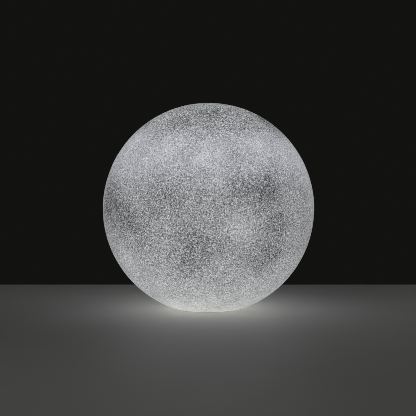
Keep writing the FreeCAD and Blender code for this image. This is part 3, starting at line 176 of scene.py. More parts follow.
class Value:
    """A socket whose sums and products add Math nodes to its tree."""

    def __init__(self, tree, socket):
        self.tree = tree
        self.socket = socket

    def maths(self, operation, *terms):
        return self.tree.node("ShaderNodeMath", {"operation": operation}, dict(enumerate(terms)))

    def __add__(self, other):
        return self.maths("ADD", self, other)

    __radd__ = __add__

    def __sub__(self, other):
        return self.maths("SUBTRACT", self, other)

    def __rsub__(self, other):
        return self.maths("SUBTRACT", other, self)

    def __mul__(self, other):
        return self.maths("MULTIPLY", self, other)

    __rmul__ = __mul__

    def __truediv__(self, other):
        return self.maths("DIVIDE", self, other)

    def __rtruediv__(self, other):
        return self.maths("DIVIDE", other, self)

    def __pow__(self, other):
        return self.maths("POWER", self, other)

    def __gt__(self, other):
        return self.maths("GREATER_THAN", self, other)

    def __abs__(self):
        return self.maths("ABSOLUTE", self)

    def at_least(self, other):
        return self.maths("MAXIMUM", self, other)

    def at_most(self, other):
        return self.maths("MINIMUM", self, other)

    def within(self, low, high):
        """0 up to low, 1 from high on, and a smooth rise between them. Low may be the larger."""
        settings = {"interpolation_type": "SMOOTHSTEP"}
        return self.tree.node("ShaderNodeMapRange", settings, {0: self, 1: low, 2: high})


class Tree:
    """A node tree, and the one way that a node is added to it."""

    def __init__(self, nodes):
        self.nodes = nodes

    def node(self, kind, settings=None, sockets=None, out=0):
        """Adds a node: its settings first, then its sockets' values or links. Gives its output number out."""
        made = self.nodes.nodes.new(kind)
        for name, value in (settings or {}).items():
            if name == "stops":
                self.set_stops(made.color_ramp, value)
            else:
                setattr(made, name, value)
        for name, value in (sockets or {}).items():
            if isinstance(value, Value):
                self.nodes.links.new(value.socket, made.inputs[name])
            elif value is not None:
                made.inputs[name].default_value = value
        return Value(self, made.outputs[out])

    @staticmethod
    def set_stops(ramp, stops):
        while len(ramp.elements) < len(stops):
            ramp.elements.new(0.5)
        for element, (place, tint) in zip(ramp.elements, stops):
            element.position = place
            element.color = (*tint, 1.0)

    def other(self, value, output):
        """Another output of the node that gave value."""
        return Value(self, value.socket.node.outputs[output])

    def parts(self, vector):
        """The three numbers of a vector or colour."""
        made = self.node("ShaderNodeSeparateXYZ", None, {0: vector})
        return [self.other(made, number) for number in range(3)]

    def joined(self, x=0.0, y=0.0, z=0.0):
        return self.node("ShaderNodeCombineXYZ", None, {0: x, 1: y, 2: z})

    def vector(self, operation, first, second=None, out=0):
        return self.node("ShaderNodeVectorMath", {"operation": operation}, {0: first, 1: second}, out)

    def scaled(self, vector, size):
        return self.node("ShaderNodeVectorMath", {"operation": "SCALE"}, {0: vector, "Scale": size})

    def noise(self, place, scale, detail=2.0, rough=0.6, out=0):
        sockets = {"Vector": place, "Scale": scale, "Detail": detail, "Roughness": rough}
        return self.node("ShaderNodeTexNoise", None, sockets, out)

    def cells(self, place, scale, feature, jumble=1.0):
        """Distances in a pattern of cells. Jumble is 0 for a square grid and 1 for cells in no order."""
        sockets = {"Vector": place, "Scale": scale, "Randomness": jumble}
        return self.node("ShaderNodeTexVoronoi", {"feature": feature}, sockets)


class Finish(Tree):
    """A material's nodes, laid on a piece by its Object coordinates."""

    def __init__(self, name):
        self.material = bpy.data.materials.new(name)
        self.material.use_nodes = True
        super().__init__(self.material.node_tree)
        self.nodes.nodes.clear()
        self.place = self.node("ShaderNodeTexCoord", out=3)

    def off_axis(self):
        """How far a point lies from the lamp's upright axis, in millimetres."""
        x, y, _ = self.parts(self.place)
        return (x * x + y * y) ** 0.5 * MM_PER_METRE

    def blend(self, factor, first, second, how="MIX"):
        """A colour from first, where factor is 0, to second, where it is 1."""
        first, second = (opaque(tint) for tint in (first, second))
        settings = {"data_type": "RGBA", "blend_type": how}
        return self.node("ShaderNodeMix", settings, {0: factor, 6: first, 7: second}, 2)

    def bump(self, height, depth, strength=1.0):
        """A normal from height, 0 to 1, which stands for depth in metres."""
        return self.node("ShaderNodeBump", None, {"Strength": strength, "Distance": depth, "Height": height})

    def surface(self, **sockets):
        """Ends the material in one Principled shader. A name's underscores stand for spaces."""
        names = {"Specular_Level": "Specular IOR Level"}
        values = {names.get(name, name.replace("_", " ")): opaque(value) for name, value in sockets.items()}
        shader = self.node("ShaderNodeBsdfPrincipled", None, values)
        out = self.nodes.nodes.new("ShaderNodeOutputMaterial")
        self.nodes.links.new(shader.socket, out.inputs["Surface"])
        return self.material


def opaque(value):
    """A colour with its alpha of 1 added. Anything else comes back as it is."""
    return (*value, 1.0) if isinstance(value, tuple) else value


def shaded(tint, light):
    """A colour made darker, or lighter up to white, light times over."""
    return tuple(min(1.0, part * light) for part in tint)


class Shape(Tree):
    """A Geometry Nodes tree with named inputs."""

    KINDS = {
        float: "NodeSocketFloat",
        int: "NodeSocketInt",
        "geometry": "NodeSocketGeometry",
        "finish": "NodeSocketMaterial",
    }

    def __init__(self, name):
        super().__init__(bpy.data.node_groups.new(name, "GeometryNodeTree"))
        self.tree_inputs = self.nodes.nodes.new("NodeGroupInput")
        self.start = self.input("Start", "geometry")

    def input(self, name, kind, value=None):
        socket = self.nodes.interface.new_socket(name=name, in_out="INPUT", socket_type=self.KINDS[kind])
        if value is not None:
            socket.default_value = value
        return Value(self, self.tree_inputs.outputs[name])

    def sizes(self, **values):
        """One named input for each size, with its value as default."""
        return [self.input(input_name(name), type(value), value) for name, value in values.items()]

    def end(self, shape):
        """Realize Instances and Set Material, then the tree's output."""
        self.nodes.interface.new_socket(name="Shape", in_out="OUTPUT", socket_type="NodeSocketGeometry")
        whole = self.node("GeometryNodeRealizeInstances", None, {"Geometry": shape})
        finish = self.input("Finish", "finish")
        dressed = self.node("GeometryNodeSetMaterial", None, {"Geometry": whole, "Material": finish})
        out = self.nodes.nodes.new("NodeGroupOutput")
        self.nodes.links.new(dressed.socket, out.inputs["Shape"])
        return self.nodes

    def spun(self, path_radius, steps, weld=WELD):
        """The start mesh as a profile, of x = radius and y = -height, turned once round the Z axis."""
        profile = self.node("GeometryNodeMeshToCurve", None, {"Mesh": self.start})
        circle = self.node("GeometryNodeCurvePrimitiveCircle", None, {
            "Resolution": steps, "Radius": path_radius})
        upright = self.node("GeometryNodeSetCurveNormal", {"mode": "Z_UP"}, {"Curve": circle})
        moved = self.node("GeometryNodeTransform", None, {
            "Geometry": profile, "Translation": (-path_radius, 0.0, 0.0)})
        swept = self.node("GeometryNodeCurveToMesh", None, {"Curve": upright, "Profile Curve": moved})
        return self.merged(swept, weld)

    def merged(self, mesh, distance=WELD):
        return self.node("GeometryNodeMergeByDistance", None, {"Geometry": mesh, "Distance": distance})

    def moved_points(self, mesh, **sockets):
        return self.node("GeometryNodeSetPosition", None, {"Geometry": mesh, **sockets})

    def copies(self, points, piece, **sockets):
        """The piece set on each of the points."""
        return self.node("GeometryNodeInstanceOnPoints", None, {
            "Points": points, "Instance": piece, **sockets})

    def together(self, *parts):
        """The parts in one geometry."""
        both = self.node("GeometryNodeJoinGeometry")
        for part in reversed(parts):
            self.nodes.links.new(part.socket, both.socket.node.inputs[0])
        return both


def input_name(name):
    """The name of a tree's input. A keyword's underscores stand for spaces."""
    return name.replace("_", " ").capitalize()


def linked(name, data):
    """A new object in the scene that holds data."""
    made = bpy.data.objects.new(name, data)
    bpy.context.collection.objects.link(made)
    return made


def grow(name, tree, start, finish, slot, body, sharp, **values):
    """Runs a tree on the mesh start and keeps the result as a plain mesh that rides on body."""
    source = linked(name + "_start", start)
    modifier = source.modifiers.new("shape", "NODES")
    modifier.node_group = tree
    known = {item.name: item.identifier for item in tree.interface.items_tree if item.in_out == "INPUT"}
    for key, value in dict(values, finish=finish).items():
        modifier[known[input_name(key)]] = value
    bpy.context.view_layer.update()
    evaluated = source.evaluated_get(bpy.context.evaluated_depsgraph_get())
    mesh = bpy.data.meshes.new_from_object(evaluated)
    source.modifiers.remove(modifier)
    bpy.data.objects.remove(source)
    return place(name, mesh, slot, body, sharp)


def place(name, mesh, slot, body, sharp):
    """An object at the origin that holds mesh and rides on body. Slot is not used.

    Edges that turn by more than sharp degrees stay sharp, and the rest are smooth.
    """
    if not mesh.polygons:
        raise RuntimeError(f"{name} came out with no faces")
    mesh.name = name
    for polygon in mesh.polygons:
        polygon.use_smooth = True
    mesh.set_sharp_from_angle(angle=math.radians(sharp))
    made = linked(name, mesh)
    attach(made, body)
    return made


def line_mesh(name, points):
    """A mesh of edges through (radius, height) points, laid out as the spun trees take them."""
    mesh = bpy.data.meshes.new(name)
    mesh.from_pydata([(r, -z, 0.0) for r, z in points], [(i, i + 1) for i in range(len(points) - 1)], [])
    return mesh


def point_mesh(name, places):
    """Loose points with a turn about Z kept in the attribute turn."""
    mesh = bpy.data.meshes.new(name)
    mesh.from_pydata([tuple(centre) for centre, _ in places], [], [])
    turns = mesh.attributes.new("turn", "FLOAT", "POINT")
    turns.data.foreach_set("value", [turn for _, turn in places])
    return mesh


def solids_in(mesh):
    """The points of each separate solid in a bmesh."""
    left = set(mesh.verts)
    while left:
        stack = [left.pop()]
        solid = set(stack)
        while stack:
            for edge in stack.pop().link_edges:
                for vertex in edge.verts:
                    if vertex in left:
                        left.discard(vertex)
                        solid.add(vertex)
                        stack.append(vertex)
        yield solid


def tops_of(node):
    """(centre of the top face, turn about Z) of each box in a CAD node."""
    near = 1e-5
    mesh = bmesh.new()
    mesh.from_mesh(frame["nodes"][node].data)
    bmesh.ops.remove_doubles(mesh, verts=mesh.verts, dist=WELD)
    mesh.verts.index_update()
    found = []
    for solid in solids_in(mesh):
        top = max(v.co.z for v in solid)
        rim = sorted((v for v in solid if v.co.z > top - near), key=lambda v: v.index)
        centre = sum((v.co for v in rim), Vector()) / len(rim)
        edges = [e for v in rim for e in v.link_edges if e.other_vert(v) in rim]
        diagonal = max(e.calc_length() for e in edges)
        sides = [e for e in edges if abs(e.calc_length() - diagonal) > near] or edges
        side = max(sides, key=lambda e: round(e.calc_length(), 6))
        across = side.verts[1].co - side.verts[0].co
        found.append((centre, math.atan2(across.y, across.x)))
    mesh.free()
    found.sort(key=lambda item: (round(item[0].length, 5), round(math.atan2(item[0].y, item[0].x), 4)))
    return found


def arc(centre, radius, start, end, steps):
    """(radius, height) points on an arc about (0, centre), from start to end degrees off the top."""
    turns = [math.radians(start + (end - start) / steps * i) for i in range(steps + 1)]
    return [(radius * math.sin(turn), centre + radius * math.cos(turn)) for turn in turns]


# -------------------- sizes and colours that a user would change


def number(name, default, description, **limits):
    return FloatProperty(name=name, default=default, description=description, **limits)


def length(name, default, description):
    return number(name, default, description, unit="LENGTH", min=0.0, precision=5)


def share(name, default, description):
    return number(name, default, description, subtype="FACTOR", min=0.0, max=4.0)


def power(name, default, description):
    return number(name, default, description, subtype="POWER", min=0.0)


def count(name, default, description, low, high):
    return IntProperty(name=name, default=default, description=description, min=low, max=high)


def colour(name, default, description):
    return FloatVectorProperty(
        name=name, default=default, description=description, subtype="COLOR", min=0.0, max=8.0)


class GlobeSettings(bpy.types.PropertyGroup):
    """Sizes and glow of the globe"""

    radius: length("Radius", (GLOBE_HIGH.x - GLOBE_LOW.x) / 2, "Outer radius of the globe")
    wall: length("Wall", 3 * MM, "Thickness of the moulding")
    foot_radius: length("Foot radius", 70 * MM, "Outer radius of the flat foot")
    rim_rounding: length("Rim rounding", 1.2 * MM, "Rounding of the foot's outer edge")
    recess_radius: length("Recess radius", 65 * MM, "Radius of the hollow under the foot")
    mouth_radius: length("Mouth radius", 55 * MM, "Radius of the mouth that the base goes through")
    seat: length("Seat height", 4.85 * MM, "Height of the foot plate's underside")
    steps: count("Steps round", 320, "Faces round the globe", 32, 400)
    relief: length("Relief", 0.45 * MM, "Depth of the soft hollows in the surface")
    relief_size: length("Relief size", 26 * MM, "Size of the soft hollows")
    grain: length("Grain", 1.65 * MM, "Size of the fine speckle in the print")
    grain_contrast: share("Grain contrast", 0.66, "Strength of the fine speckle")
    cloud_contrast: share("Cloud contrast", 1.45, "Strength of the soft clouds")
    glow: share("Glow", 0.895, "Brightness of the lit globe")


class BaseSettings(bpy.types.PropertyGroup):
    """Sizes and finishes of the base and what it carries"""

    shell: colour("Shell", (0.88, 0.88, 0.86), "Moulded white of the housing, cover and collar")
    button: colour("Button", (0.42, 0.43, 0.45), "Grey of the button")
    felt: colour("Felt", (0.30, 0.31, 0.33), "Colour of the felt ring")
    rubber: colour("Rubber", (0.028, 0.028, 0.030), "Colour of the feet")
    dome_glow: share("Dome glow", 0.68, "Brightness of the lit dome")
    ring_bore: length("Ring bore", 56 * MM, "Inner radius of the felt ring")
    fibres: count("Fibres", 900, "Loose fibres on the felt ring", 0, 4000)
    fibre: length("Fibre", 0.5 * MM, "Length of a loose fibre")
    pad_radius: length("Pad radius", 5.4 * MM, "Radius of a rubber foot")
    sole_grooves: count("Sole grooves", 3, "Rings cut in each foot's sole", 0, 6)
    wire_radius: length("Wire radius", 0.3 * MM, "Radius of the button spring's wire")


class StageSettings(bpy.types.PropertyGroup):
    """Floor, light and camera"""

    floor: colour("Floor", (0.68, 0.68, 0.66), "Colour of the floor")
    floor_reach: length("Floor reach", 3.0, "How far the floor goes in front and to the sides")
    floor_back: length("Floor back", 0.32, "How far the floor goes behind the lamp's middle")
    room: colour("Room", (0.0062, 0.0061, 0.0056), "Colour of the room around")
    key_power: power("Key light", 10.0, "Power of the large soft light")
    fill_power: power("Fill light", 7.0, "Power of the light opposite")
    light_size: length("Light size", 1.6, "Width of both lights")
    distance: length("Camera distance", 1.714, "From the camera to the globe's centre")
    tilt: number("Tilt", math.radians(2.75), "How far the camera looks down", subtype="ANGLE")
    softness: number("Softness", 0.8, "Width of a pixel's edge in the picture", subtype="PIXEL", min=0.5)
    lens: number("Lens", 77.9, "Focal length on a 36 mm sensor", subtype="DISTANCE_CAMERA", min=1.0)


class LampSettings(bpy.types.PropertyGroup):
    """All of the lamp's settings"""

    globe: PointerProperty(type=GlobeSettings)
    base: PointerProperty(type=BaseSettings)
    stage: PointerProperty(type=StageSettings)


def settings():
    return bpy.context.scene.moon_lamp


# -------------------- finishes


def clouds(finish, direction):
    """The sum of the soft clouds on the globe, about 0."""
    total = 0.0
    for turn, patches in SIDES:
        side = Matrix.Rotation(math.radians(turn), 3, "Z")
        for across, up, radius, strength in patches:
            depth = math.sqrt(max(0.0, 1.0 - across * across - up * up))
            centre = side @ Vector((across, -depth, up)).normalized()
            away = finish.vector("DISTANCE", direction, tuple(centre), out=1)
            total = away.within(radius, radius * CLOUD_CORE) * strength + total
    return total


def globe_finish():
    """Printed plastic lit from inside: soft clouds, bands of brightness and a fine dark and light speckle."""
    s = settings().globe
    finish = Finish("globe_print")
    centre = GLOBE_HIGH.z - s.radius
    from_centre = finish.vector("SUBTRACT", finish.place, (0.0, 0.0, centre))
    direction = finish.vector("NORMALIZE", from_centre)
    up = finish.parts(direction)[2]
    drift = finish.noise(direction, scale=5.0, detail=3.0, out=1)
    wobble = finish.vector("SUBTRACT", drift, (0.5, 0.5, 0.5))
    warped = finish.vector("ADD", direction, finish.scaled(wobble, CLOUD_WOBBLE))
    warped_up = finish.parts(warped)[2]
    tone = finish.node("ShaderNodeValToRGB", {"stops": GLOBE_TONES}, {"Fac": (warped_up + 1.0) * 0.5})
    brightness = finish.node("ShaderNodeRGBToBW", None, {0: tone})
    soft = finish.noise(direction, scale=4.5, detail=4.0) - 0.5
    mottle = finish.noise(finish.place, scale=75.0) - 0.5
    cloud = (clouds(finish, warped) + soft * 0.20 + mottle * 0.13) * s.cloud_contrast
    specks = finish.noise(finish.place, scale=0.68 / s.grain, detail=3.0, rough=0.85) - 0.5
    worms = finish.noise(finish.place, scale=0.4 / s.grain, rough=0.9) - 0.5
    bands = 1.0
    for start, end, change in SPECKLE_BANDS:
        bands = up.within(start, end) * change + bands
    contrast = (SPECKLE_FADES_AT - brightness - cloud * 0.4) * bands * SPECKLE_GAIN
    grain = (specks * SPECKS_SHARE + worms * WORMS_SHARE) * contrast * s.grain_contrast
    level = (1.0 + cloud + grain).at_least(0.05)
    printed = finish.blend(1.0, tone, level, "MULTIPLY")
    shown = finish.node("ShaderNodeGamma", None, {"Color": printed, "Gamma": SCREEN_GAMMA})
    glow = finish.vector("MULTIPLY", shown, (s.glow, s.glow, s.glow))
    body = finish.blend((level - 0.35) * 0.9, (0.16, 0.155, 0.15), (0.55, 0.55, 0.56))
    pits = finish.noise(finish.place, scale=0.7 / s.grain, detail=4.0)
    return finish.surface(
        Base_Color=body, Roughness=0.62, Specular_Level=0.35, Emission_Color=glow, Emission_Strength=1.0,
        Sheen_Weight=0.25, Sheen_Roughness=0.4, Normal=finish.bump(pits, 0.35 * MM, 0.6))


def moulded(name, tint, roughness=0.42, grain=0.5 * MM, depth=0.02 * MM):
    """Moulded plastic: a fine eroded texture, faint flow marks and slight changes of gloss."""
    finish = Finish(name)
    flow = finish.noise(finish.place, scale=28.0, detail=3.0, rough=0.55)
    texture = finish.noise(finish.place, scale=1.0 / grain)
    dust = finish.noise(finish.place, scale=160.0, detail=4.0)
    dulled = flow.within(0.35, 0.7) * 0.5 + dust.within(0.5, 0.75) * 0.25
    body = finish.blend(dulled, tint, shaded(tint, 0.84))
    gloss = roughness + (flow - 0.5) * 0.10 + (texture - 0.5) * 0.12
    return finish.surface(Base_Color=body, Roughness=gloss, Normal=finish.bump(texture, depth))


def opal_finish():
    """Opal plastic with the light board's glow behind it, brightest over the chips."""
    finish = Finish("opal_dome")
    over_chips = finish.off_axis().within(*DOME_GLOW_ENDS)
    mottle = finish.noise(finish.place, scale=90.0, detail=3.0)
    light = (0.55 + over_chips * 0.45 + (mottle - 0.5) * 0.08) * settings().base.dome_glow
    glow = finish.vector("MULTIPLY", finish.joined(light, light, light), (1.0, 0.985, 0.93))
    texture = finish.noise(finish.place, scale=1600.0)
    return finish.surface(
        Base_Color=(0.80, 0.80, 0.78), Roughness=0.34 + texture * 0.1, Emission_Color=glow,
        Emission_Strength=1.0, Normal=finish.bump(texture, 0.015 * MM))


def felt_finish():
    """Pressed wool felt: matted fibres with painted shade in their hollows and painted light on their raised,
    pale loose ends, in clumps of varying tone.
    """
    tint = tuple(settings().base.felt)
    finish = Finish("wool_felt")
    matted = finish.vector("MULTIPLY", finish.place, (1.0, 1.0, 2.6))
    fibres = finish.noise(matted, scale=900.0, detail=5.0, rough=0.75)
    clumps = finish.noise(finish.place, scale=170.0, detail=3.0)
    # Painted shade and light: darker where the fibres' bump is low, paler where it is high; the clumps vary
    # the tone at random.
    body = finish.blend(
        fibres.within(0.35, 0.68) * 0.7 + clumps * 0.3, shaded(tint, 0.45), shaded(tint, 1.7))
    return finish.surface(
        Base_Color=body, Roughness=0.96, Sheen_Weight=0.6, Sheen_Roughness=0.5,
        Normal=finish.bump(fibres, 0.12 * MM))


def rubber_finish():
    """Soft black rubber with a dusty bloom."""
    tint = tuple(settings().base.rubber)
    dusty = tuple(part * 2.6 + 0.01 for part in tint)
    finish = Finish("soft_rubber")
    bloom = finish.noise(finish.place, scale=240.0, detail=4.0, rough=0.65)
    texture = finish.noise(finish.place, scale=2400.0)
    body = finish.blend(bloom.within(0.45, 0.75) * 0.5, tint, dusty)
    return finish.surface(
        Base_Color=body, Roughness=0.74 + (bloom - 0.5) * 0.2, Normal=finish.bump(texture, 0.03 * MM))


def metal(name, tint, roughness, stretch=(1.0, 1.0, 1.0)):
    """Plated metal with fine tool marks, drawn out along one way, and small duller stains."""
    finish = Finish(name)
    marks = finish.noise(finish.vector("MULTIPLY", finish.place, stretch), scale=3200.0, detail=3.0)
    stains = finish.noise(finish.place, scale=420.0, detail=3.0).within(0.5, 0.8)
    body = finish.blend(stains * 0.25, tint, shaded(tint, 0.62))
    gloss = roughness + (marks - 0.5) * 0.22 + stains * 0.12
    return finish.surface(
        Base_Color=body, Metallic=1.0, Roughness=gloss, Normal=finish.bump(marks, 0.006 * MM))


def circuit_finish():
    """Green lacquer over copper tracks and the board's glass weave."""
    finish = Finish("green_board")
    x, y, _ = finish.parts(finish.place)
    flat = finish.joined(x, y, 0.0)
    tracks = finish.cells(flat, scale=320.0, feature="DISTANCE_TO_EDGE", jumble=0.35).within(0.10, 0.06)
    weave = finish.noise(flat, scale=1500.0)
    body = finish.blend(tracks * 0.8, (0.010, 0.085, 0.032), (0.030, 0.19, 0.070))
    body = finish.blend((weave - 0.5) * 0.4, body, (0.02, 0.12, 0.05))
    return finish.surface(
        Base_Color=body, Roughness=0.28 + weave * 0.12, Coat_Weight=0.3,
        Normal=finish.bump(tracks * 0.8 + weave * 0.2, 0.03 * MM))


def light_board_finish():
    """White lacquer over the copper rings that join the chips, with a bare edge."""
    finish = Finish("white_board")
    reach = finish.off_axis()
    rings = 0.0
    for radius in COPPER_RINGS:
        rings = ((reach - radius) * (reach - radius)).within(3.2, 2.4) + rings
    lacquer = finish.noise(finish.place, scale=900.0)
    body = finish.blend(rings * 0.5, (0.82, 0.82, 0.80), (0.62, 0.60, 0.54))
    body = finish.blend(reach.within(*BOARD_EDGE), body, (0.70, 0.62, 0.42))
    return finish.surface(
        Base_Color=body, Roughness=0.26 + lacquer * 0.12,
        Normal=finish.bump(rings * 0.7 + lacquer * 0.3, 0.03 * MM))


def phosphor_finish():
    """The yellow resin window of a lit chip."""
    finish = Finish("chip_phosphor")
    grains = finish.noise(finish.place, scale=5200.0)
    pale = grains.within(0.3, 0.7)
    body = finish.blend(pale, (0.92, 0.66, 0.10), (0.98, 0.80, 0.25))
    glow = finish.blend(pale, (4.2, 3.5, 2.2), (5.0, 4.4, 3.0))
    return finish.surface(
        Base_Color=body, Roughness=0.3, Emission_Color=glow, Emission_Strength=1.0,
        Normal=finish.bump(grains, 0.01 * MM))


def cell_finish():
    """Blue heat-shrunk wrap, rolled over at the ends, with bare metal inside the roll."""
    finish = Finish("cell_wrap")
    span = CELL_HIGH - CELL_LOW
    axis = 0 if span.x > span.y else 1
    run = finish.parts(finish.place)[axis]
    from_end = (run - CELL_LOW[axis]).at_most(CELL_HIGH[axis] - run) * MM_PER_METRE
    bare = from_end.within(0.9, 0.6)
    shrink = finish.noise(finish.place, scale=130.0, detail=3.0)
    body = finish.blend(shrink.within(0.35, 0.7), (0.010, 0.075, 0.26), (0.016, 0.105, 0.34))
    body = finish.blend(bare, body, (0.60, 0.60, 0.58))
    return finish.surface(
        Base_Color=body, Metallic=bare, Roughness=0.24 + shrink * 0.12, Normal=finish.bump(shrink, 0.05 * MM))


def clear_finish():
    """Clear plastic rod with a little green light in it."""
    finish = Finish("clear_rod")
    swirl = finish.noise(finish.place, scale=700.0)
    glow = finish.blend(swirl, (0.10, 0.55, 0.16), (0.20, 0.80, 0.28))
    return finish.surface(
        Base_Color=(0.86, 0.93, 0.87), Roughness=0.08 + swirl * 0.06, Emission_Color=glow,
        Emission_Strength=0.6, Coat_Weight=0.5)


def floor_finish():
    """Pale matt paint, a little worn."""
    tint = tuple(settings().stage.floor)
    finish = Finish("floor_paint")
    wear = finish.noise(finish.place, scale=9.0, detail=4.0)
    tooth = finish.noise(finish.place, scale=700.0)
    body = finish.blend(wear.within(0.3, 0.8) * 0.5, tint, shaded(tint, 0.93))
    return finish.surface(
        Base_Color=body, Roughness=0.55, Specular_Level=0.3, Normal=finish.bump(tooth, 0.02 * MM, 0.5))


# -------------------- Geometry Nodes trees


def globe_tree():
    """A profile spun into a globe, with soft hollows in its outside and screw seats in its foot."""
    shape = Shape("spun_globe")
    steps, radius, centre, relief, size, rim = shape.sizes(
        steps=320, radius=0.2, centre_height=0.188, relief=0.0004, relief_size=0.026, rim_height=0.001)
    holes, circle, head, shank, seat, sink = shape.sizes(
        holes=6, hole_circle=0.06, head_radius=0.003, shank_radius=0.0016, seat_height=0.00485,
        sink_depth=0.0015)
    spun = shape.spun(path_radius=0.1, steps=steps, weld=WELD * 10)
    place_now = shape.node("GeometryNodeInputPosition")
    from_centre = shape.vector("SUBTRACT", place_now, shape.joined(0.0, 0.0, centre))
    reach = shape.vector("LENGTH", from_centre, out=1)
    outwards = shape.vector("NORMALIZE", from_centre)
    height = shape.parts(place_now)[2]
    outer = (reach > radius - 0.6 * MM) * (height - rim).within(1.5 * MM, 6 * MM)
    hollows = shape.noise(place_now, scale=1.0 / size, detail=5.0, rough=0.62)
    pits = shape.cells(place_now, scale=0.55 / size, feature="SMOOTH_F1")
    depth = (hollows.within(0.25, 0.75) * 0.6 + pits.within(0.5, 0.1) * 0.4) * relief * outer
    pressed = shape.moved_points(spun, Offset=shape.scaled(outwards, 0.0 - depth))
    ring = shape.node("GeometryNodeMeshCircle", None, {"Vertices": holes, "Radius": circle})
    cutter_sides = 24
    cone = shape.node("GeometryNodeMeshCone", {"fill_type": "NGON"}, {
        "Vertices": cutter_sides, "Radius Bottom": head, "Radius Top": shank, "Depth": sink})
    # Half a side's turn keeps the cutters' corners off the globe's own edges.
    lifted = shape.node("GeometryNodeTransform", None, {
        "Geometry": cone, "Translation": shape.joined(0.0, 0.0, seat),
        "Rotation": (0.0, 0.0, math.pi / cutter_sides)})
    cutters = shape.node("GeometryNodeRealizeInstances", None, {"Geometry": shape.copies(ring, lifted)})
    return shape.end(shape.node(
        "GeometryNodeMeshBoolean", {"operation": "DIFFERENCE", "solver": "MANIFOLD"},
        {"Mesh 1": pressed, "Mesh 2": cutters}))


def felt_tree():
    """A profile spun into a felt ring, with loose fibres that lean out of its edges."""
    shape = Shape("felt_ring")
    steps, fibres, fibre, thick, edge_area = shape.sizes(
        steps=160, fibres=900, fibre=0.0005, fibre_thickness=0.00004, edge_area=0.00076)
    ring = shape.spun(path_radius=0.06, steps=steps)
    edge_on = 1.0 - abs(shape.parts(shape.node("GeometryNodeInputNormal"))[2])
    points = shape.node("GeometryNodeDistributePointsOnFaces", None, {
        "Mesh": ring, "Density": fibres / edge_area, "Seed": 7, "Selection": edge_on > 0.5})
    hair = shape.node("GeometryNodeMeshCone", {"fill_type": "NGON"}, {
        "Vertices": 3, "Radius Bottom": thick, "Radius Top": thick * 0.3, "Depth": fibre})
    lean = shape.node("FunctionNodeRandomValue", {"data_type": "FLOAT_VECTOR"}, {
        0: (-0.9, -0.9, -3.1), 1: (0.9, 0.9, 3.1), "Seed": 11})
    turned = shape.node("FunctionNodeRotateRotation", {"rotation_space": "LOCAL"}, {
        0: shape.other(points, "Rotation"), 1: lean})
    stretch = shape.node("FunctionNodeRandomValue", {"data_type": "FLOAT"}, {2: 0.4, 3: 1.0, "Seed": 13}, 1)
    hairs = shape.copies(points, hair, Rotation=turned, Scale=shape.joined(1.0, 1.0, stretch))
    return shape.end(shape.together(ring, hairs))


def foot_tree():
    """A profile spun into one rubber foot and set at each of the places round the flange."""
    shape = Shape("rubber_feet")
    steps, feet, circle = shape.sizes(steps=40, feet=4, foot_circle=0.0574)
    foot = shape.spun(path_radius=0.01, steps=steps)
    places = shape.node("GeometryNodeMeshCircle", None, {"Vertices": feet, "Radius": circle})
    return shape.end(shape.copies(places, foot))


def window_tree():
    """A low, crowned resin window set on top of each chip, turned as the chip is."""
    shape = Shape("phosphor_windows")
    side, crown, rim = shape.sizes(side=0.0024, crown=0.0001, rim_height=0.00002)
    patch = shape.node("GeometryNodeMeshGrid", None, {
        "Size X": side, "Size Y": side, "Vertices X": 7, "Vertices Y": 7})
    x, y, _ = shape.parts(shape.node("GeometryNodeInputPosition"))
    lift = ((1.0 - (x / (side * 0.5)) ** 4.0) * (1.0 - (y / (side * 0.5)) ** 4.0)) * crown
    raised = shape.node("GeometryNodeExtrudeMesh", None, {
        "Mesh": patch, "Offset Scale": rim, "Individual": False})
    domed = shape.moved_points(
        raised, Selection=shape.other(raised, "Top"), Offset=shape.joined(0.0, 0.0, lift))
    under = shape.node("GeometryNodeFlipFaces", None, {"Mesh": patch})
    window = shape.merged(shape.together(domed, under))
    turn = shape.node("GeometryNodeInputNamedAttribute", {"data_type": "FLOAT"}, {"Name": "turn"})
    return shape.end(shape.copies(shape.start, window, Rotation=shape.joined(0.0, 0.0, turn)))


def coil_tree():
    """A round wire wound into an upright spring, with its end turns closed up."""
    shape = Shape("coil_spring")
    turns, radius, wire, low, high, closing = shape.sizes(
        turns=6, coil_radius=0.0053, wire_radius=0.0003, low_end=0.005, high_end=0.015, closing=0.45)
    spiral = shape.node("GeometryNodeCurveSpiral", None, {
        "Resolution": 28, "Rotations": turns, "Start Radius": radius, "End Radius": radius, "Height": 1.0})
    x, y, z = shape.parts(shape.node("GeometryNodeInputPosition"))
    span = high - low - wire * 2.0
    rise = z.within(0.0, 1.0) * closing + z * (1.0 - closing)
    wound = shape.moved_points(spiral, Position=shape.joined(x, y, rise * span + low + wire))
    section = shape.node("GeometryNodeCurvePrimitiveCircle", None, {"Resolution": 10, "Radius": wire})
    return shape.end(shape.node("GeometryNodeCurveToMesh", None, {
        "Curve": wound, "Profile Curve": section, "Fill Caps": True}))


# -------------------- operators, one for each piece or group


def dress(finish, *nodes):
    """Gives CAD nodes a finish by their own material slots."""
    for name in nodes:
        slots = frame["nodes"][name].material_slots
        if not slots:
            raise RuntimeError(f"{name} has no material slot")
        for each in slots:
            each.material = finish


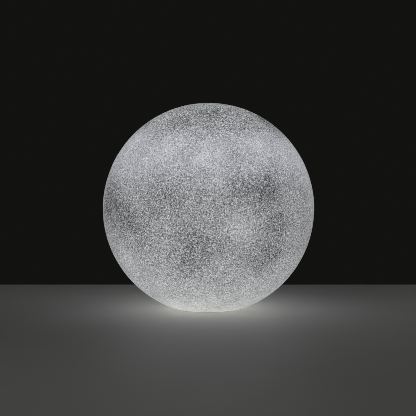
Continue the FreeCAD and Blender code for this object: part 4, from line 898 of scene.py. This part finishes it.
def globe_profile(s):
    """(radius, height) points from the globe's top down its outside, round its foot and up its inside."""
    centre = GLOBE_HIGH.z - s.radius
    inner = s.radius - s.wall
    rim = GLOBE_LOW.z
    rim_radius = s.foot_radius - s.rim_rounding
    skin = 0.05 * MM
    ease = 0.3 * MM
    outside_steps, inside_steps = 150, 44
    corner = math.degrees(math.acos((rim + s.rim_rounding - centre) / s.radius))
    points = arc(centre, s.radius - skin, 0.0, corner - 0.05, outside_steps)
    edge_radius, edge_height = points[-1]
    for part, bulge in ((0.35, 0.10 * MM), (0.7, 0.14 * MM)):
        points.append((
            edge_radius + (rim_radius - edge_radius) * part + bulge,
            edge_height + (rim - edge_height) * part - bulge * 0.2,
        ))
    plate = s.seat + s.wall
    step = s.recess_radius + s.wall
    channel = rim + s.wall
    points += [
        (rim_radius, rim),
        (s.recess_radius + ease, rim),
        (s.recess_radius, rim + ease),
        (s.recess_radius, s.seat),
        (s.mouth_radius + 0.2 * MM, s.seat),
        (s.mouth_radius, s.seat + 0.2 * MM),
        (s.mouth_radius, plate),
        (step, plate),
        (step, channel),
    ]
    inner_start = math.degrees(math.acos((channel - centre) / inner))
    return points + arc(centre, inner, inner_start, 0.0, inside_steps)


class MOON_OT_globe(bpy.types.Operator):
    """Spins the globe, presses its soft relief, cuts its screw seats and lights its print"""

    bl_idname = "moon.globe"
    bl_label = "Globe"

    def execute(self, context):
        s = settings().globe
        made = grow(
            "moon_globe", globe_tree(), line_mesh("globe_profile", globe_profile(s)), globe_finish(),
            "globe_plastic", "globe", sharp=38.0, steps=s.steps, radius=s.radius,
            centre_height=GLOBE_HIGH.z - s.radius, relief=s.relief, relief_size=s.relief_size,
            rim_height=GLOBE_LOW.z, seat_height=s.seat)
        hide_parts("globe_shell")
        return {"FINISHED"}


class MOON_OT_felt_ring(bpy.types.Operator):
    """Makes the felt ring that the globe turns on, with loose fibres at its edges"""

    bl_idname = "moon.felt_ring"
    bl_label = "Felt ring"

    def execute(self, context):
        s = settings().base
        outer, inner = RING_HIGH.x, s.ring_bore
        low, high = RING_LOW.z, RING_HIGH.z
        soft = (high - low) * 0.28
        cut = soft * 0.3
        points = [
            (inner + cut, low + cut), (inner, low + soft), (inner, high - soft), (inner + cut, high - cut),
            (inner + soft, high), (outer - soft, high), (outer - cut, high - cut), (outer, high - soft),
            (outer, low + soft), (outer - cut, low + cut), (outer - soft, low), (inner + soft, low),
        ]
        points.append(points[0])
        made = grow(
            "felt_ring", felt_tree(), line_mesh("felt_profile", points), felt_finish(), "felt", "ring",
            sharp=60.0, fibres=s.fibres, fibre=s.fibre)
        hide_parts("glide_ring")
        return {"FINISHED"}


def foot_profile(radius, top, grooves):
    """(radius, height) points from a foot's top centre down its side and in across its ringed sole."""
    dimple, groove = 0.35 * MM, 0.22 * MM
    flat_start, flat_end = 1.5 * MM, radius - 0.8 * MM
    pitch = (flat_end - flat_start) / max(1, grooves)
    points = [(0.0, dimple), (1.2 * MM, dimple), (flat_start, 0.0)]
    for i in range(grooves):
        start = flat_start + pitch * (i + 0.45)
        points += [
            (start, 0.0), (start + 0.12 * MM, groove), (start + 0.38 * MM, groove), (start + 0.5 * MM, 0.0)]
    points += [
        (radius - 0.5 * MM, 0.0), (radius - 0.2 * MM, 0.08 * MM), (radius - 0.05 * MM, 0.25 * MM),
        (radius, 0.5 * MM), (radius, top), (0.0, top)]
    # From the top down, so that the spun faces look outwards.
    return points[::-1]


class MOON_OT_feet(bpy.types.Operator):
    """Makes the rubber feet with ringed soles and softened edges"""

    bl_idname = "moon.feet"
    bl_label = "Rubber feet"

    def execute(self, context):
        s = settings().base
        points = foot_profile(s.pad_radius, FOOT_HIGH.z, s.sole_grooves)
        made = grow(
            "rubber_pads", foot_tree(), line_mesh("foot_profile", points), rubber_finish(), "soft_rubber",
            "base", sharp=50.0, foot_circle=FOOT_HIGH.x - s.pad_radius)
        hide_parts("rubber_feet")
        # This first slot is empty and the rubber is in the next, so these two come out with no finish.
        dress(made.data.materials[0], "cover_gasket", "lead_grommet")
        return {"FINISHED"}


class MOON_OT_button_spring(bpy.types.Operator):
    """Winds the button's return spring"""

    bl_idname = "moon.button_spring"
    bl_label = "Button spring"

    def execute(self, context):
        wire = settings().base.wire_radius
        low, high = map(Vector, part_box("button_spring"))
        travel = next(joint["range_m"][1] for joint in frame["joints"] if joint["name"] == "button_press")
        start = point_mesh("spring_place", [(Vector(), 0.0)])
        steel = metal("wire_steel", (0.60, 0.60, 0.60), 0.2)
        made = grow(
            "return_spring", coil_tree(), start, steel, "spring_steel", "base", sharp=60.0,
            coil_radius=high.x - wire, wire_radius=wire, low_end=low.z, high_end=high.z)
        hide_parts("button_spring")
        1.0 - travel / (high.z - low.z)
        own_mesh(made)
        return {"FINISHED"}


class MOON_OT_light_board(bpy.types.Operator):
    """Sets a resin window on every chip and finishes the light board, its spreader and its dome"""

    bl_idname = "moon.light_board"
    bl_label = "Light board and dome"

    def execute(self, context):
        grow("phosphor_windows", window_tree(), point_mesh("chip_places", tops_of("led_chips")),
             phosphor_finish(), "light_chip", "base", sharp=40.0)
        dress(light_board_finish(), "led_board")
        dress(moulded("chip_ceramic", (0.84, 0.83, 0.78), 0.5, 0.2 * MM, 0.01 * MM), "led_chips")
        dress(metal("spreader_aluminium", (0.80, 0.81, 0.82), 0.34, (1.0, 0.06, 1.0)), "heat_spreader")
        dress(opal_finish(), "light_dome")
        return {"FINISHED"}


class MOON_OT_mouldings(bpy.types.Operator):
    """Finishes the moulded plastics of the base and the collar"""

    bl_idname = "moon.mouldings"
    bl_label = "Mouldings"

    def execute(self, context):
        s = settings().base
        dress(moulded("white_moulding", tuple(s.shell)),
              "base_housing", "base_cover", "mouth_collar", "port_door")
        dress(moulded("button_moulding", tuple(s.button), 0.38), "power_button")
        dress(moulded("black_moulding", (0.022, 0.022, 0.024), 0.46),
              "battery_holder", "switch_body", "switch_plunger")
        dress(clear_finish(), "light_pipe")
        return {"FINISHED"}


class MOON_OT_fittings(bpy.types.Operator):
    """Finishes the screws, clips, battery contacts and springs, and the charging socket"""

    bl_idname = "moon.fittings"
    bl_label = "Screws, springs and socket"

    def execute(self, context):
        screws = [name for name in frame["nodes"] if name.endswith("_screws")]
        dress(metal("nickel_screw", (0.66, 0.65, 0.62), 0.26), *screws)
        dress(metal("spring_steel", (0.58, 0.58, 0.58), 0.22, (1.0, 1.0, 0.15)),
              "globe_clips", "battery_springs", "battery_contacts", "port_door_pin")
        dress(metal("socket_steel", (0.70, 0.70, 0.71), 0.28, (0.1, 1.0, 1.0)), "charge_socket")
        return {"FINISHED"}


class MOON_OT_electrics(bpy.types.Operator):
    """Finishes the control board, what it carries, the cells and the leads"""

    bl_idname = "moon.electrics"
    bl_label = "Board, cells and leads"

    def execute(self, context):
        dress(circuit_finish(), "control_board")
        dress(moulded("component_case", (0.030, 0.030, 0.032), 0.5, 0.25 * MM, 0.012 * MM),
              "board_components")
        dress(moulded("plug_nylon", (0.74, 0.73, 0.66), 0.45), "lead_plugs")
        dress(cell_finish(), "battery_cells")
        for name, tint in (("red", (0.42, 0.018, 0.012)), ("black", (0.018, 0.018, 0.018))):
            dress(moulded(f"{name}_insulation", tint, 0.34, 0.8 * MM, 0.01 * MM),
                  f"battery_lead_{name}", f"led_lead_{name}")
        return {"FINISHED"}


def lay_floor(s):
    """A round floor with its back cut off straight."""
    sides = 96
    turns = [math.tau * i / sides for i in range(sides)]
    outline = [
        (s.floor_reach * math.cos(turn), min(s.floor_back, s.floor_reach * math.sin(turn)), 0.0)
        for turn in turns
    ]
    mesh = bpy.data.meshes.new("floor")
    mesh.from_pydata(outline, [], [tuple(range(sides))])
    mesh.materials.append(floor_finish())
    floor = linked("floor", mesh)


def hang_light(name, watts, size, spot):
    """A large soft light that faces the middle of the lamp's lower half."""
    middle = Vector((0.0, 0.0, 0.12))
    light = bpy.data.lights.new(name, "AREA")
    light.energy = watts
    light.size = size
    made = linked(name, light)
    made.location = spot
    made.rotation_euler = (middle - Vector(spot)).to_track_quat("-Z", "Y").to_euler()


def set_camera(s):
    """The camera, level from side to side, aimed so that the globe lies where the photograph has it."""
    lens = bpy.data.cameras.new("camera")
    lens.lens = s.lens
    lens.sensor_width = 36.0
    made = linked("camera", lens)
    nudge = 1.0 * MM
    aim = Vector((-nudge, 0.0, GLOBE_HIGH.z - settings().globe.radius + nudge))
    made.location = aim + s.distance * Vector((0.0, -math.cos(s.tilt), math.sin(s.tilt)))
    made.rotation_euler = (math.pi / 2 - s.tilt, 0.0, 0.0)
    bpy.context.scene.camera = made


class MOON_OT_stage(bpy.types.Operator):
    """Lays the pale floor, hangs the soft lights and sets the camera"""

    bl_idname = "moon.stage"
    bl_label = "Stage"

    def execute(self, context):
        s = settings().stage
        lay_floor(s)
        world = bpy.data.worlds.new("room")
        world.use_nodes = True
        world.node_tree.nodes["Background"].inputs["Color"].default_value = (*s.room, 1.0)
        context.scene.world = world
        hang_light("key", s.key_power, s.light_size, (-1.7, -2.2, 0.8))
        hang_light("fill", s.fill_power, s.light_size, (2.2, 1.3, 0.8))
        set_camera(s)
        context.scene.view_settings.view_transform = "Standard"
        context.scene.cycles.filter_width = s.softness
        # The prefilter would smear the speckle, which is a pixel wide.
        context.scene.cycles.denoising_prefilter = "NONE"
        return {"FINISHED"}


class MOON_PT_panel(bpy.types.Panel):
    """Lists the lamp's settings and its pieces"""

    bl_idname = "MOON_PT_panel"
    bl_label = "Moon lamp"
    bl_space_type = "VIEW_3D"
    bl_region_type = "UI"
    bl_category = "Moon lamp"

    def draw(self, context):
        lamp = context.scene.moon_lamp
        for group in (lamp.globe, lamp.base, lamp.stage):
            box = self.layout.box()
            for name in group.bl_rna.properties.keys():
                if name not in {"rna_type", "name"}:
                    box.prop(group, name)
        for operator in OPERATORS:
            self.layout.operator(operator.bl_idname)


OPERATORS = (
    MOON_OT_stage,
    MOON_OT_globe,
    MOON_OT_felt_ring,
    MOON_OT_feet,
    MOON_OT_button_spring,
    MOON_OT_light_board,
    MOON_OT_mouldings,
    MOON_OT_fittings,
    MOON_OT_electrics,
)
CLASSES = (GlobeSettings, BaseSettings, StageSettings, LampSettings, *OPERATORS, MOON_PT_panel)


def register():
    for each in CLASSES:
        bpy.utils.register_class(each)
    bpy.types.Scene.moon_lamp = PointerProperty(type=LampSettings)


def unregister():
    del bpy.types.Scene.moon_lamp
    for each in reversed(CLASSES):
        bpy.utils.unregister_class(each)


def main():
    register()
    for operator in OPERATORS:
        group, name = operator.bl_idname.split(".")
        getattr(getattr(bpy.ops, group), name)()


if __name__ == "__main__":
    main()
